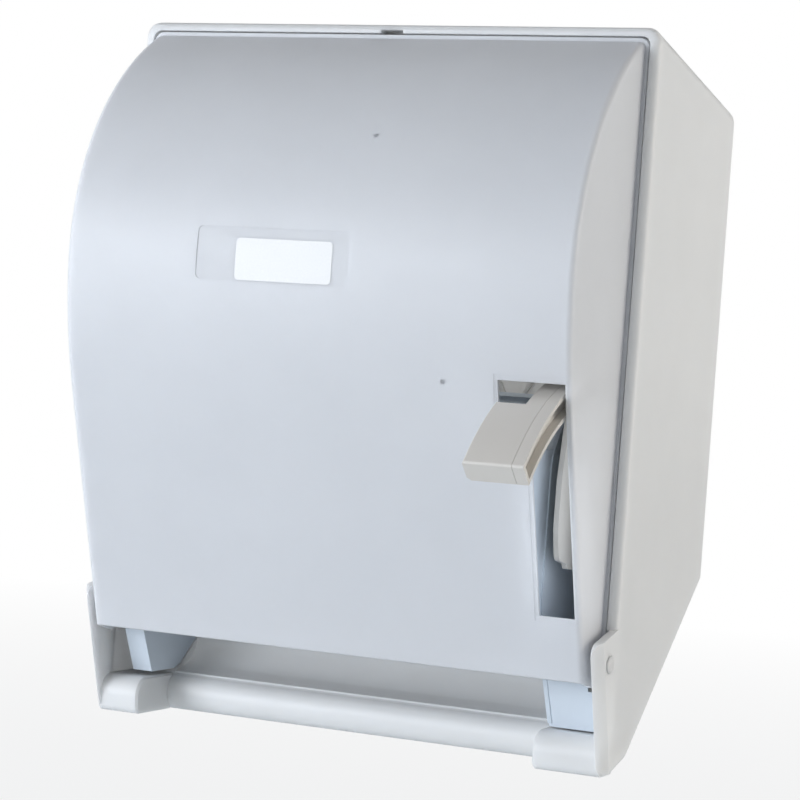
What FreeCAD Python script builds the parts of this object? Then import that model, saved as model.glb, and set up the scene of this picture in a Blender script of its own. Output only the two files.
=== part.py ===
"""Lever paper towel dispenser: wall housing, hinged front cover and a lever driven feed.

Frame: X to the right, Y from the front towards the wall, Z up, millimetres.
The origin is on the wall plane, at the centre of the four wall screws.
"""
import FreeCAD
import Part
import math
import os

from FreeCAD import Vector

# ---------------------------------------------------------------- driving sizes
HALF_WIDTH = 164.0            # housing, outside
COVER_HALF_WIDTH = 155.0
WALL = 2.5                    # moulded wall of housing and cover
TOP_BACK_Z = 144.0            # housing top at the wall
TOP_FRONT_Z = 171.0           # housing top at the rim
WALL_FOOT_Z = -142.0          # where the housing leaves the wall below
RIM_Y = -151.5                # front plane of the rim
RIM_LIP_Y = -143.0            # back of the thick rim lip
RIM_INNER_X = 158.0
RIM_INNER_Z = 165.1
EAR_INNER_X = 159.3
UNDERSIDE_KNEE = (-121.5, -239.0)
EAR_TOE = (-155.5, -248.0)
EAR_NOSE = (-181.6, -173.4)
EAR_ROOT_Z = -166.0

COVER_PIVOT = (-160.0, -184.0)
LEVER_PIVOT = (-87.0, -50.0)
ARM_INNER_R = 147.0           # lever arm, an arc about the cover pivot
ARM_OUTER_R = 161.0
ARM_END_DEG = 137.7
PADDLE_REAR_DEG = 119.2
PADDLE_X0 = 115.7
ARM_X0 = 133.4
SEAM_X = 143.3
ARM_X1 = 150.0
LEVER_TRAVEL_DEG = 38.0

GEAR_MODULE = 2.5
SECTOR_TEETH = 68             # teeth of the full circle the sector is cut from
PINION_TEETH = 14             # idler and drive pinion are alike
GEAR_X0 = 136.9
GEAR_X1 = 142.9
IDLER_DEG = 297.5             # direction of the idler from the lever pivot
FEED_DEG = 213.0              # direction of the feed shaft from the idler
SECTOR_CENTRES = GEAR_MODULE * (SECTOR_TEETH + PINION_TEETH) / 2
PINION_CENTRES = GEAR_MODULE * PINION_TEETH
IDLER_AXIS = (
    LEVER_PIVOT[0] + SECTOR_CENTRES * math.cos(math.radians(IDLER_DEG)),
    LEVER_PIVOT[1] + SECTOR_CENTRES * math.sin(math.radians(IDLER_DEG)),
)
FEED_AXIS = (
    IDLER_AXIS[0] + PINION_CENTRES * math.cos(math.radians(FEED_DEG)),
    IDLER_AXIS[1] + PINION_CENTRES * math.sin(math.radians(FEED_DEG)),
)
FEED_R = 22.0
FEED_SHAFT_R = 4.0
PRESS_R = 10.0
PRESS_AXIS = (FEED_AXIS[0] - 31.8, FEED_AXIS[1] - 5.6)
CRADLE_AXIS = (PRESS_AXIS[0] - 3.0, PRESS_AXIS[1] + 38.0)
ROD_R = 2.5
RUN = 0.05                    # radial running clearance

LEFT_FRAME_X = -134.0         # inner faces of the two side frames
RIGHT_FRAME_X = 122.8
FRAME_T = 2.5
FRAME_REAR_Y = -8.5

ROLL_AXIS = (-118.0, 38.0)
ROLL_HALF = 101.5             # half the width of a standard towel roll
CORE_R = 19.0

LIP_BAR = (-107.5, -237.0)    # rounded bar along the front of the exit
LIP_BAR_R = 11.0
LEFT_BLOCK_X = -134.0
RIGHT_BLOCK_X = 120.5

WALL_HOLE_X = 90.0
WALL_HOLE_Z = 100.0
WALL_HOLE_R = 3.25

os.makedirs("parts", exist_ok=True)


# ------------------------------------------------------------------- helpers
def save(shape, node):
    """Write one piece and report its volume."""
    shape.exportStep("parts/%s.step" % node)
    box = shape.BoundBox
    print("%-22s solids %d  volume %9.0f  valid %s  x %.1f %.1f" % (
        node, len(shape.Solids), shape.Volume, shape.isValid(), box.XMin, box.XMax))


def rod(x0, x1, centre, radius):
    """Cylinder along X between two planes."""
    return Part.makeCylinder(radius, x1 - x0, Vector(x0, centre[0], centre[1]), Vector(1, 0, 0))


def rod_y(y0, y1, x, z, radius):
    """Cylinder along Y between two planes."""
    return Part.makeCylinder(radius, y1 - y0, Vector(x, y0, z), Vector(0, 1, 0))


def rod_z(z0, z1, x, y, radius):
    """Cylinder along Z between two planes."""
    return Part.makeCylinder(radius, z1 - z0, Vector(x, y, z0), Vector(0, 0, 1))


def box(x0, x1, y0, y1, z0, z1):
    """Block between three pairs of planes."""
    return Part.makeBox(x1 - x0, y1 - y0, z1 - z0, Vector(x0, y0, z0))


def outline(points, place):
    """Closed wire through corners; a corner (u, v, r) is rounded with radius r."""
    count = len(points)
    spans = []
    for index, corner in enumerate(points):
        here = Vector(corner[0], corner[1], 0)
        radius = corner[2] if len(corner) > 2 else 0.0
        if radius == 0.0:
            spans.append((here, here, here))
            continue
        before = Vector(points[index - 1][0], points[index - 1][1], 0) - here
        after = Vector(points[(index + 1) % count][0], points[(index + 1) % count][1], 0) - here
        before.normalize()
        after.normalize()
        half = before.getAngle(after) / 2
        setback = radius / math.tan(half)
        bisector = (before + after).normalize()
        middle = here + bisector * (radius / math.sin(half) - radius)
        spans.append((here + before * setback, middle, here + after * setback))
    edges = []
    for index, (start, middle, end) in enumerate(spans):
        if start != end:
            edges.append(Part.Arc(place(start), place(middle), place(end)).toShape())
        following = spans[(index + 1) % count][0]
        if (following - end).Length > 1e-6:
            edges.append(Part.LineSegment(place(end), place(following)).toShape())
    return Part.Wire(edges)


def side_slab(points, x0, x1):
    """Slab between two X planes from an outline in Y and Z."""
    wire = outline(points, lambda p: Vector(x0, p.x, p.y))
    return Part.Face(wire).extrude(Vector(x1 - x0, 0, 0))


def front_slab(points, y0, y1):
    """Slab between two Y planes from an outline in X and Z."""
    wire = outline(points, lambda p: Vector(p.x, y0, p.y))
    return Part.Face(wire).extrude(Vector(0, y1 - y0, 0))


def plan_slab(points, z0, z1):
    """Slab between two Z planes from an outline in X and Y."""
    wire = outline(points, lambda p: Vector(p.x, p.y, z0))
    return Part.Face(wire).extrude(Vector(0, 0, z1 - z0))


def polar(centre, radius, degrees):
    """Point in Y and Z at a radius and direction from a centre."""
    angle = math.radians(degrees)
    return (centre[0] + radius * math.cos(angle), centre[1] + radius * math.sin(angle))


def arc_slab(centre, r0, r1, deg0, deg1, x0, x1):
    """Curved bar of rectangular section, an arc about a centre."""
    middle = (deg0 + deg1) / 2

    def place(radius, degrees):
        y, z = polar(centre, radius, degrees)
        return Vector(x0, y, z)

    outer = Part.Arc(place(r1, deg0), place(r1, middle), place(r1, deg1)).toShape()
    inner = Part.Arc(place(r0, deg1), place(r0, middle), place(r0, deg0)).toShape()
    end = Part.LineSegment(place(r1, deg1), place(r0, deg1)).toShape()
    start = Part.LineSegment(place(r0, deg0), place(r1, deg0)).toShape()
    return Part.Face(Part.Wire([outer, end, inner, start])).extrude(Vector(x1 - x0, 0, 0))


def fuse(shapes):
    """Union of pieces of one moulding, with their shared faces cleaned up."""
    return shapes[0].multiFuse(shapes[1:]).removeSplitter()


def edges_where(shape, test):
    """Edges whose middle point passes a test."""
    chosen = []
    for edge in shape.Edges:
        middle = edge.valueAt((edge.FirstParameter + edge.LastParameter) / 2)
        if test(middle, edge):
            chosen.append(edge)
    return chosen


def eased(form, find, radius):
    """Round edges with three narrow strips that touch the radius."""
    first = radius * (2 - math.sqrt(2))
    form = form.makeChamfer(first, find(form, [0.0]))
    return form.makeChamfer(radius * 0.215, find(form, [0.0, first]))


def near(value, target, tolerance=0.05):
    return abs(value - target) < tolerance


def ring_of(centre, across, up, radius, sides):
    """Corners of a regular polygon about a centre."""
    corners = []
    for index in range(sides):
        angle = 2 * math.pi * index / sides
        corners.append(centre + across * (radius * math.cos(angle)) + up * (radius * math.sin(angle)))
    return corners


def skin_rings(rings):
    """Solid whose skin joins one ring of corners to the next, closed by flat ends."""
    faces = []
    for low, high in zip(rings[:-1], rings[1:]):
        for index in range(len(low)):
            following = (index + 1) % len(low)
            a, b, c, d = low[index], low[following], high[following], high[index]
            faces.append(Part.Face(Part.makePolygon([a, b, c, a])))
            faces.append(Part.Face(Part.makePolygon([a, c, d, a])))
    for ring in (rings[0], rings[-1]):
        faces.append(Part.Face(Part.makePolygon(ring + ring[:1])))
    solid = Part.Solid(Part.Shell(faces))
    if solid.Volume < 0:
        solid.reverse()
    return solid


def prism(start, along, radius, sides):
    """Many-sided bar along a vector; its corners lie on the radius."""
    across = Vector(0, 0, 1) if abs(along.z) < 0.5 * along.Length else Vector(0, 1, 0)
    up = along.cross(across).normalize()
    ring = ring_of(start, across, up, radius, sides)
    return Part.Face(Part.makePolygon(ring + ring[:1])).extrude(along)


def bar(x0, x1, centre, radius, sides=12):
    """Many-sided bar along X, for bosses and collars that need no true round."""
    return prism(Vector(x0, centre[0], centre[1]), Vector(x1 - x0, 0, 0), radius, sides)


def hole(x0, x1, centre, radius, sides=12):
    """Many-sided hole along X whose flats lie on the radius."""
    return bar(x0, x1, centre, radius / math.cos(math.pi / sides), sides)


def hole_y(y0, y1, x, z, radius, sides=6):
    """Many-sided hole along Y whose flats lie on the radius."""
    return prism(Vector(x, y0, z), Vector(0, y1 - y0, 0), radius / math.cos(math.pi / sides), sides)


def hole_z(z0, z1, x, y, radius, sides=8):
    """Many-sided hole along Z whose flats lie on the radius."""
    return prism(Vector(x, y, z0), Vector(0, 0, z1 - z0), radius / math.cos(math.pi / sides), sides)


def screw(at, axis, head_r, head_h, shank_r, length):
    """Hexagon head screw; the shank runs along axis from under the head."""
    across = Vector(0, 0, 1)
    up = axis.cross(across)
    sides = 6
    levels = [(-head_h, head_r), (0.0, head_r), (0.0, shank_r), (length, shank_r)]
    return skin_rings([ring_of(at + axis * depth, across, up, radius, sides) for depth, radius in levels])


def coil(radius, wire_r, pitch, turns, origin, axis):
    """Wire coil that starts at origin and climbs along axis."""
    per_turn = 6
    across = Vector(0, 1, 0) if abs(axis.y) < 0.5 else Vector(1, 0, 0)
    up = axis.cross(across)
    rings = []
    for index in range(int(per_turn * turns) + 1):
        angle = 2 * math.pi * index / per_turn
        out = across * math.cos(angle) + up * math.sin(angle)
        centre = origin + out * radius + axis * (pitch * index / per_turn)
        rings.append(ring_of(centre, out, axis, wire_r, 4))
    return skin_rings(rings)


# ------------------------------------------------------------- rear housing
def underside_z(y):
    """Height of the slanted underside at a distance from the wall."""
    slope = (WALL_FOOT_Z - UNDERSIDE_KNEE[1]) / -UNDERSIDE_KNEE[0]
    return WALL_FOOT_Z + slope * y


def exit_block(side, inner_x):
    """End block of the exit, rounded over the front, bevelled up to the ear behind."""
    y, z = LIP_BAR
    r = LIP_BAR_R
    x0, x1 = sorted((inner_x, side * (EAR_INNER_X + 1.0)))
    block = side_slab([
        (y + r, z - r, 9.0), (y + r, underside_z(y + r) + 2.0), (y - 2.0, z + r),
        (-157.0, z + r, 11.0), (-154.5, z - r, 5.0)], x0, x1)
    block = block.makeChamfer(1.3, edges_where(block, lambda m, e: near(m.x, inner_x) and m.y < y - 14))
    ear_low = Vector(side * EAR_INNER_X, -133.0, z - r)
    ear_high = Vector(side * EAR_INNER_X, *UNDERSIDE_KNEE)
    inner_low = Vector(side * 128.0, y + 2.0, z - r)
    normal = (ear_high - ear_low).cross(inner_low - ear_low).normalize()
    if normal.z > 0:
        normal = normal * -1
    along = (inner_low - ear_low).normalize()
    across = normal.cross(along)
    corners = []
    for u, v in ((-60, -60), (90, -60), (90, 60), (-60, 60), (-60, -60)):
        corners.append(ear_low + along * u + across * v)
    return block.cut(Part.Face(Part.makePolygon(corners)).extrude(normal * 60))


def chute(x0, x1, swell):
    """Space before the curved wall that leads the towel to the exit bar, swollen for its outside."""
    back = -82.8 + swell
    return side_slab([(back, -192.0), (back, -218.6 - 0.8 * swell, 19.0 + swell),
                      (-110.0, -224.8 - 1.03 * swell), (-110.0, -192.0)], x0, x1)


def rear_housing():
    top_slope = (TOP_FRONT_Z - TOP_BACK_Z) / -RIM_Y
    profile = [
        (0.0, TOP_BACK_Z), (RIM_Y, TOP_FRONT_Z), (RIM_Y, EAR_ROOT_Z), (*EAR_NOSE, 7.0),
        (*EAR_TOE, 8.0), (*UNDERSIDE_KNEE, 12.0), (0.0, WALL_FOOT_Z)]
    body = side_slab(profile, -HALF_WIDTH, HALF_WIDTH)
    shoulders = edges_where(body, lambda m, e: near(abs(m.x), HALF_WIDTH) and m.z > TOP_BACK_Z + 6
                            and m.y > RIM_Y + 5)
    body = body.makeFillet(9.0, shoulders)

    def rim(solid, insets):
        return edges_where(solid, lambda m, e: any(near(m.y, RIM_Y + step) for step in insets)
                           and m.z > EAR_ROOT_Z + 1 and (abs(m.x) > EAR_INNER_X or m.z > TOP_FRONT_Z - 10))
    body = eased(body, rim, 5.0)

    cavity = side_slab([
        (-WALL, TOP_BACK_Z - WALL + 0.3), (RIM_LIP_Y, TOP_BACK_Z - RIM_LIP_Y * top_slope - WALL),
        (RIM_LIP_Y, underside_z(RIM_LIP_Y) + 20.0), (-118.0, underside_z(-118.0) + 4.0),
        (-WALL, underside_z(-WALL) + 4.0)],
        -HALF_WIDTH + WALL, HALF_WIDTH - WALL)
    mouth = box(-RIM_INNER_X, RIM_INNER_X, -210, RIM_LIP_Y, EAR_ROOT_Z, RIM_INNER_Z)
    mouth = mouth.makeFillet(5.0, edges_where(mouth, lambda m, e: near(m.z, RIM_INNER_Z)
                                              and near(abs(m.x), RIM_INNER_X)))
    between_ears = box(-EAR_INNER_X, EAR_INNER_X, -210, RIM_LIP_Y, -260, EAR_ROOT_Z)
    exit_mouth = box(-EAR_INNER_X, EAR_INNER_X, -210, -112.0, -260, -215)
    body = body.cut(cavity.fuse([mouth, between_ears, exit_mouth]))

    for side in (-1, 1):
        body = body.cut(ear_bevel(side))

    lip = [
        rod(LEFT_BLOCK_X - 1, RIGHT_BLOCK_X + 1, LIP_BAR, LIP_BAR_R),
        exit_block(-1, LEFT_BLOCK_X),
        exit_block(1, RIGHT_BLOCK_X),
    ]
    below = side_slab([(0.0, underside_z(0.0) + 2.0), (-118.0, underside_z(-118.0) + 2.0), (-118.0, -260.0),
                       (0.0, -260.0)], -HALF_WIDTH, HALF_WIDTH)
    chute_ends = chute(LEFT_BLOCK_X - 2.0, RIGHT_BLOCK_X + 2.0, 2.4).common(below)
    body = fuse([body, chute_ends, chute(LEFT_BLOCK_X, RIGHT_BLOCK_X, 2.4)])
    body = body.cut(chute(LEFT_BLOCK_X, RIGHT_BLOCK_X, 0.0))
    bosses = []
    for x in (-WALL_HOLE_X, WALL_HOLE_X):
        for z in (-WALL_HOLE_Z, WALL_HOLE_Z):
            bosses.append(box(x - 10, x + 10, -5.5, -1.0, z - 10, z + 10))
    for x, z in frame_screw_places():
        bosses.append(box(x - 5, x + 5, FRAME_REAR_Y, -1.0, z - 6, z + 6))
    for side in (-1, 1):
        bosses += [back_rib(side, -1), back_rib(side, 1)]
        for z0 in (ROLL_AXIS[1] - 28.0, ROLL_AXIS[1] + 16.5):
            bosses.append(hinge_knuckle(side, z0, z0 + 11.5))
    body = fuse([body] + lip + bosses)

    holes = []
    for x in (-WALL_HOLE_X, WALL_HOLE_X):
        for z in (-WALL_HOLE_Z, WALL_HOLE_Z):
            holes.append(rod_y(-8, 1, x, z, WALL_HOLE_R))
    for x, z in frame_screw_places():
        holes.append(hole_y(FRAME_REAR_Y - 1, -1.5, x, z, 1.8))
    for side in (-1, 1):
        holes.append(hole_z(ROLL_AXIS[1] - 30, ROLL_AXIS[1] + 30, side * 112.0, -12.0, 2.03))
        x0, x1 = sorted((side * (EAR_INNER_X - 2), side * (HALF_WIDTH + 2)))
        holes.append(rod(x0, x1, COVER_PIVOT, 4.03))
    holes.append(front_slab([(-7.2, 164.0), (7.2, 164.0), (7.2, 167.0, 1.2), (-7.2, 167.0, 1.2)], -155, -140))
    return body.cut(Part.makeCompound(holes))


def ear_bevel(side):
    """Wide bevel along the front edge of an ear."""
    depth = 11.0
    nose = Vector(0, EAR_NOSE[0], EAR_NOSE[1])
    toe = Vector(0, EAR_TOE[0], EAR_TOE[1])
    along = (toe - nose).normalize()
    inward = Vector(0, -along.z, along.y)
    if inward.y < 0:
        inward = inward * -1
    start = nose - along * 12
    corner = start + Vector(side * (HALF_WIDTH + 1), 0, 0) - inward * 2
    face_edge = start + Vector(side * EAR_INNER_X, 0, 0) - inward * 2
    front = start + Vector(side * EAR_INNER_X, 0, 0)
    back = start + Vector(side * (HALF_WIDTH + 1), 0, 0) + inward * depth
    wedge = Part.Face(Part.makePolygon([corner, face_edge, front, back, corner]))
    return wedge.extrude(along * 110)


def back_rib(side, lean):
    """One leg of the V shaped ribs inside the back wall."""
    x = side * 35.0
    reach = x + lean * 40.0
    points = [(x - 1.5, -52.0), (x + 1.5, -52.0), (reach + 1.5, 25.0), (reach - 1.5, 25.0)]
    return front_slab(points, -5.0, -1.0)


def hinge_knuckle(side, z0, z1):
    """Knuckle on the back wall that holds a roll arm's hinge pin."""
    x = side * 112.0
    return plan_slab([(x - 8, -1.0), (x - 6, -12.0), (x - 4, -16.5), (x, -18.0), (x + 4, -16.5),
                      (x + 6, -12.0), (x + 8, -1.0)], z0, z1)


def frame_screw_places():
    return [(LEFT_FRAME_X + 8.0, -52.0), (LEFT_FRAME_X + 8.0, -118.0),
            (RIGHT_FRAME_X - 8.0, -52.0), (RIGHT_FRAME_X - 8.0, -118.0)]


# -------------------------------------------------------------- front cover
COVER_FOOT = (-175.7, -194.1)
COVER_SLOPE_DEG = 19.0        # lean of the straight lower front
COVER_STRAIGHT = 148.3
COVER_ARCS = [(275.0, 14.8), (147.0, 43.3), (167.0, 22.3), (15.0, 18.9)]   # radius and turn, foot to top
COVER_REAR_Y = -146.0
COVER_LOBE_R = 14.0
COVER_EDGE_R = 9.0            # round between the front and the sides


def cover_form(inset):
    """Solid inside the cover's skin moved inwards by inset; the inner one has plain bevelled sides."""
    heading = math.radians(90.0 + COVER_SLOPE_DEG)
    ahead = Vector(0, math.cos(heading), math.sin(heading))
    inward = Vector(0, ahead.z, -ahead.y)
    foot = Vector(0, *COVER_FOOT) + inward * inset
    low = foot - ahead * 60
    here = foot + ahead * COVER_STRAIGHT
    edges = [Part.LineSegment(low, here).toShape()]
    for radius, turn in COVER_ARCS:
        centre = here + inward * (radius - inset)
        halfway = turned(here, centre, turn / 2)
        after = turned(here, centre, turn)
        edges.append(Part.Arc(here, halfway, after).toShape())
        heading -= math.radians(turn)
        ahead = Vector(0, math.cos(heading), math.sin(heading))
        inward = Vector(0, ahead.z, -ahead.y)
        here = after
    top = here + ahead * 30
    corner = Vector(0, top.y, low.z)
    edges += [Part.LineSegment(here, top).toShape(), Part.LineSegment(top, corner).toShape(),
              Part.LineSegment(corner, low).toShape()]
    half = COVER_HALF_WIDTH - inset
    face = Part.Face(Part.Wire(edges))
    face.translate(Vector(-half, 0, 0))
    form = face.extrude(Vector(2 * half, 0, 0))

    def corners(solid, insets):
        return edges_where(solid, lambda m, e: m.y < top.y - 1 and m.z > low.z + 1
                           and any(near(abs(m.x), half - step) for step in insets))
    if inset < WALL:
        return eased(form, corners, COVER_EDGE_R - inset)
    return form.makeChamfer(COVER_EDGE_R - inset - 1.5, corners(form, [0.0]))


def turned(point, centre, degrees):
    """Point swung backwards about an X axis through centre."""
    return centre + FreeCAD.Rotation(Vector(-1, 0, 0), degrees).multVec(point - centre)


def cover_silhouette():
    """Side view of the cover: straight rear edge, round lobes about the hinge, slanting foot."""
    y, z = COVER_PIVOT
    r = COVER_LOBE_R
    behind = Vector(-170, y + r, z)
    round_point = Vector(-170, y + r * math.cos(math.radians(-45)), z + r * math.sin(math.radians(-45)))
    under = Vector(-170, y, z - r)
    foot = Vector(-170, COVER_FOOT[0], COVER_FOOT[1])
    front = under + (foot - under) * 5
    top = Vector(-170, -260, 190)
    edges = [
        Part.LineSegment(Vector(-170, COVER_REAR_Y, 190), behind).toShape(),
        Part.Arc(behind, round_point, under).toShape(),
        Part.LineSegment(under, front).toShape(), Part.LineSegment(front, top).toShape(),
        Part.LineSegment(top, Vector(-170, COVER_REAR_Y, 190)).toShape()]
    return Part.Face(Part.Wire(edges)).extrude(Vector(340, 0, 0))


def window_outline(grow_x, grow_z):
    """L shaped lever window: a wide mouth above a long slot."""
    left, step, right = 112.8, 130.5, 151.5
    top, shelf, bottom = -31.8, -57.0, -158.7
    return [(left - grow_x, top + grow_z), (right + grow_x, top + grow_z),
            (right + grow_x, bottom - grow_z), (step - grow_x, bottom - grow_z),
            (step - grow_x, shelf - grow_z), (left - grow_x, shelf - grow_z)]


def front_cover():
    outer = cover_form(0.0).common(cover_silhouette())
    shell = outer.cut(cover_form(WALL))
    skin = outer.cut(cover_form(0.8))
    label = front_slab([(-70.5, 43.0, 3.0), (24.3, 43.0, 3.0), (24.3, 13.0, 3.0), (-70.5, 13.0, 3.0)],
                       -250, -200)
    ledge = front_slab(window_outline(2.2, 3.2), -260, -170)
    shell = shell.cut(skin.common(label))
    shell = shell.cut(skin.common(ledge))
    shell = shell.cut(front_slab(window_outline(0.0, 0.0), -260, -150))
    for side in (-1, 1):
        x0, x1 = sorted((side * 150.0, side * 158.0))
        shell = shell.cut(rod(x0, x1, COVER_PIVOT, 4.0 + RUN))
    return shell


def cover_catch():
    """Catch plate under the cover's rear edge; the raised latch stands in its hole."""
    plate = box(-9, 9, COVER_REAR_Y, -130.0, 160.3, 162.8)
    step = box(-9, 9, COVER_REAR_Y, COVER_REAR_Y + 2.0, 157.0, 161.0)
    seat = box(-9, 9, -153.0, COVER_REAR_Y, 157.0, 165.0).common(cover_form(WALL))
    return fuse([plate, step, seat]).cut(box(-5.5, 5.5, -139.5, -134.5, 156, 165))


def cover_hinge_pins():
    pins = []
    for side in (-1, 1):
        x0, x1 = sorted((side * 151.2, side * HALF_WIDTH))
        shank = rod(x0, x1, COVER_PIVOT, 4.0)
        h0, h1 = sorted((side * HALF_WIDTH, side * (HALF_WIDTH + 1.2)))
        pins.append(shank.fuse(bar(h0, h1, COVER_PIVOT, 5.0, 10)).removeSplitter())
    return Part.makeCompound(pins)


# ------------------------------------------------------------------ chassis
def frame_outline():
    clear = 5.2
    return [(-139.5, -223.0), (-153.5, -196.8), (-164.0, -178.0, 8.0), (-170.0, -150.0, 20.0),
            (-170.0, -72.0, 20.0), (-145.0, -38.0, 20.0), (FRAME_REAR_Y, -38.0),
            (FRAME_REAR_Y, underside_z(FRAME_REAR_Y) + clear), (-104.0, underside_z(-104.0) + clear),
            (-112.0, -223.0)]


def frame_feet(inner_x, direction):
    feet = []
    for z in (-52.0, -118.0):
        x0, x1 = sorted((inner_x, inner_x + direction * 15.0))
        feet.append(box(x0, x1, FRAME_REAR_Y - 2.5, FRAME_REAR_Y, z - 8, z + 8))
    return feet


def frame_holes(x0, x1):
    return [rod(x0, x1, FEED_AXIS, FEED_SHAFT_R + RUN), hole(x0, x1, CRADLE_AXIS, ROD_R + 0.02)]


def foot_holes():
    return [hole_y(FRAME_REAR_Y - 4, FRAME_REAR_Y + 1, x, z, 2.2) for x, z in frame_screw_places()]


def front_flange(x0, x1):
    """Flange across the slanted front edge of a side frame."""
    return side_slab([(-139.5, -223.0), (-153.5, -196.8), (-164.0, -178.0, 8.0), (-165.5, -171.0),
                      (-162.9, -171.0), (-161.6, -178.6), (-151.3, -197.9), (-137.9, -223.0)], x0, x1)


def left_side_frame():
    x1 = LEFT_FRAME_X
    x0 = x1 - FRAME_T
    plate = side_slab(frame_outline(), x0, x1)
    frame = fuse([plate, front_flange(x1 - 12.8, x1)] + frame_feet(x1, 1))
    holes = frame_holes(x0 - 10, x1 + 10) + foot_holes()
    return frame.cut(Part.makeCompound(holes))


def standoff_places():
    return [(-60.0, -47.0), (-137.0, -174.0), (-14.5, -128.0)]


def flange_foot(x0, x1):
    """Lowest strip of the front flange, below the sweep of the cover, out to the ear."""
    return side_slab([(-138.5, -225.0), (-151.0, -201.4), (-148.7, -201.4), (-136.9, -225.0)], x0, x1)


def corner_bevel(x):
    """Wedge that bevels the left edge of the right flange."""
    low = Vector(x, -138.5, -225.0)
    high = Vector(x, -153.5, -196.8)
    along = (high - low).normalize()
    ahead = Vector(0, -along.z, along.y)
    across = Vector(1, 0, 0)
    start = low - along * 5
    corners = [start - across + ahead, start + across * 7 + ahead, start - across - ahead * 1.9]
    return Part.Face(Part.makePolygon(corners + corners[:1])).extrude(along * 60)


def window_lip(x):
    """Flared lip in front of the right frame, seen through the lever slot."""
    flare = plan_slab([(x, -158.0), (x + FRAME_T, -158.0), (x - 1.3, -206.0), (x - 3.8, -206.0)], -171.0, -68.0)
    return flare.common(cover_form(WALL + 3.0))


def right_side_frame():
    x0 = RIGHT_FRAME_X
    x1 = x0 + FRAME_T
    plate = side_slab(frame_outline(), x0, x1)
    flange = front_flange(x0, 149.5).fuse(flange_foot(x0, EAR_INNER_X - 0.5)).cut(corner_bevel(x0))
    spool = bar(x1 - 1, 132.8, LEVER_PIVOT, 6.5)
    posts = [bar(x1 - 1, 151.2, place, 4.5, 8) for place in standoff_places()]
    posts.append(bar(x1 - 1, 130.0, IDLER_AXIS, 8.0))
    frame = fuse([plate, flange, window_lip(x0), spool] + posts + frame_feet(x0, -1))
    holes = frame_holes(x0 - 10, x1 + 10) + foot_holes()
    holes.append(hole(x0 - 5, 140, LEVER_PIVOT, 4.02))
    holes += [hole(140, 152, place, 1.6, 6) for place in standoff_places()]
    holes.append(hole(x0 - 5, 140, IDLER_AXIS, 4.02))
    return frame.cut(Part.makeCompound(holes))


def rear_guide_plate():
    x0, x1 = LEFT_FRAME_X, RIGHT_FRAME_X
    plate = side_slab([(-38.0, -38.0, 2.0), (-44.0, -38.0), (-44.0, -40.5), (-40.5, -40.5), (-38.0, -43.0),
                       (-38.0, -118.0), (-41.0, -128.0), (-38.6, -129.0), (-35.5, -118.0), (-35.5, -40.0)],
                      x0, x1)
    ribs = [box(x - 1, x + 1, -35.6, -31.0, -116, -42) for x in (-90, -45, 0, 45, 85)]
    return fuse([plate] + ribs)


def front_rail():
    x0, x1 = LEFT_FRAME_X, RIGHT_FRAME_X
    rail = side_slab([(-154.0, -150.0, 2.0), (-154.0, -188.0), (-150.5, -188.0), (-150.5, -153.0),
                      (-143.0, -153.0), (-143.0, -150.0)], x0, x1)
    pads = [box(x - 2.5, x + 2.5, -150.6, -147.5, -167.5, -162.5) for x in (-60, 60)]
    holes = [hole_y(-156, -146, x, -172.0, 1.6) for x in blade_screw_xs()]
    return fuse([rail] + pads).cut(Part.makeCompound(holes))


def blade_screw_xs():
    return (-100.0, -5.0, 90.0)


def tear_blade():
    """Stainless strip with a saw-toothed lower edge."""
    x0, x1 = -126.0, 116.0
    teeth = 32
    pitch = (x1 - x0) / teeth
    points = [(x0, -164.0), (x0, -193.5)]
    for index in range(teeth):
        points.append((x0 + (index + 0.5) * pitch, -196.5))
        points.append((x0 + (index + 1) * pitch, -193.5))
    points.append((x1, -164.0))
    blade = front_slab(points, -155.0, -154.0)
    holes = [hole_y(-156, -153, x, -172.0, 2.2) for x in blade_screw_xs()]
    return blade.cut(Part.makeCompound(holes))


def blade_screws():
    return Part.makeCompound([
        screw(Vector(x, -155.0, -172.0), Vector(0, 1, 0), 3.6, 2.2, 1.58, 6.0) for x in blade_screw_xs()])


def frame_screws():
    return Part.makeCompound([
        screw(Vector(x, FRAME_REAR_Y - 2.5, z), Vector(0, 1, 0), 4.0, 2.6, 1.78, 7.5)
        for x, z in frame_screw_places()])


# -------------------------------------------------------------------- gears
def tooth_flank(module, teeth, radius):
    """Half the angle that a tooth fills at a radius, for 20 degree involute flanks."""
    pitch_r = module * teeth / 2
    base_r = pitch_r * math.cos(math.radians(20))
    backlash = 0.12
    half_at_pitch = (math.pi * module / 2 - backlash) / 2 / pitch_r
    involute = math.tan(math.radians(20)) - math.radians(20)
    if radius <= base_r:
        return half_at_pitch + involute
    pressure = math.acos(base_r / radius)
    return half_at_pitch + involute - (math.tan(pressure) - pressure)


def gear_teeth(module, teeth, centre, first_deg, count, x0, x1, root_inner):
    """Teeth and rim of a spur gear, or of a sector when count is less than teeth."""
    pitch_r = module * teeth / 2
    root_r = pitch_r - 1.2 * module
    tip_r = pitch_r + 0.85 * module
    levels = [root_r, pitch_r, tip_r]
    step = 360.0 / teeth
    points = []
    for index in range(count):
        middle = first_deg + index * step
        rising = [polar(centre, r, middle - math.degrees(tooth_flank(module, teeth, r))) for r in levels]
        falling = [polar(centre, r, middle + math.degrees(tooth_flank(module, teeth, r)))
                   for r in reversed(levels)]
        points += rising + falling
    if count < teeth:
        last = first_deg + (count - 0.5) * step
        points.append(polar(centre, root_r, last))
        sweep = last - (first_deg - 0.5 * step)
        for index in range(7):
            points.append(polar(centre, root_inner, last - sweep * index / 6))
        points.append(polar(centre, root_r, first_deg - 0.5 * step))
    wire = Part.makePolygon([Vector(x0, y, z) for y, z in points + points[:1]])
    return Part.Face(wire).extrude(Vector(x1 - x0, 0, 0))


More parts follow.
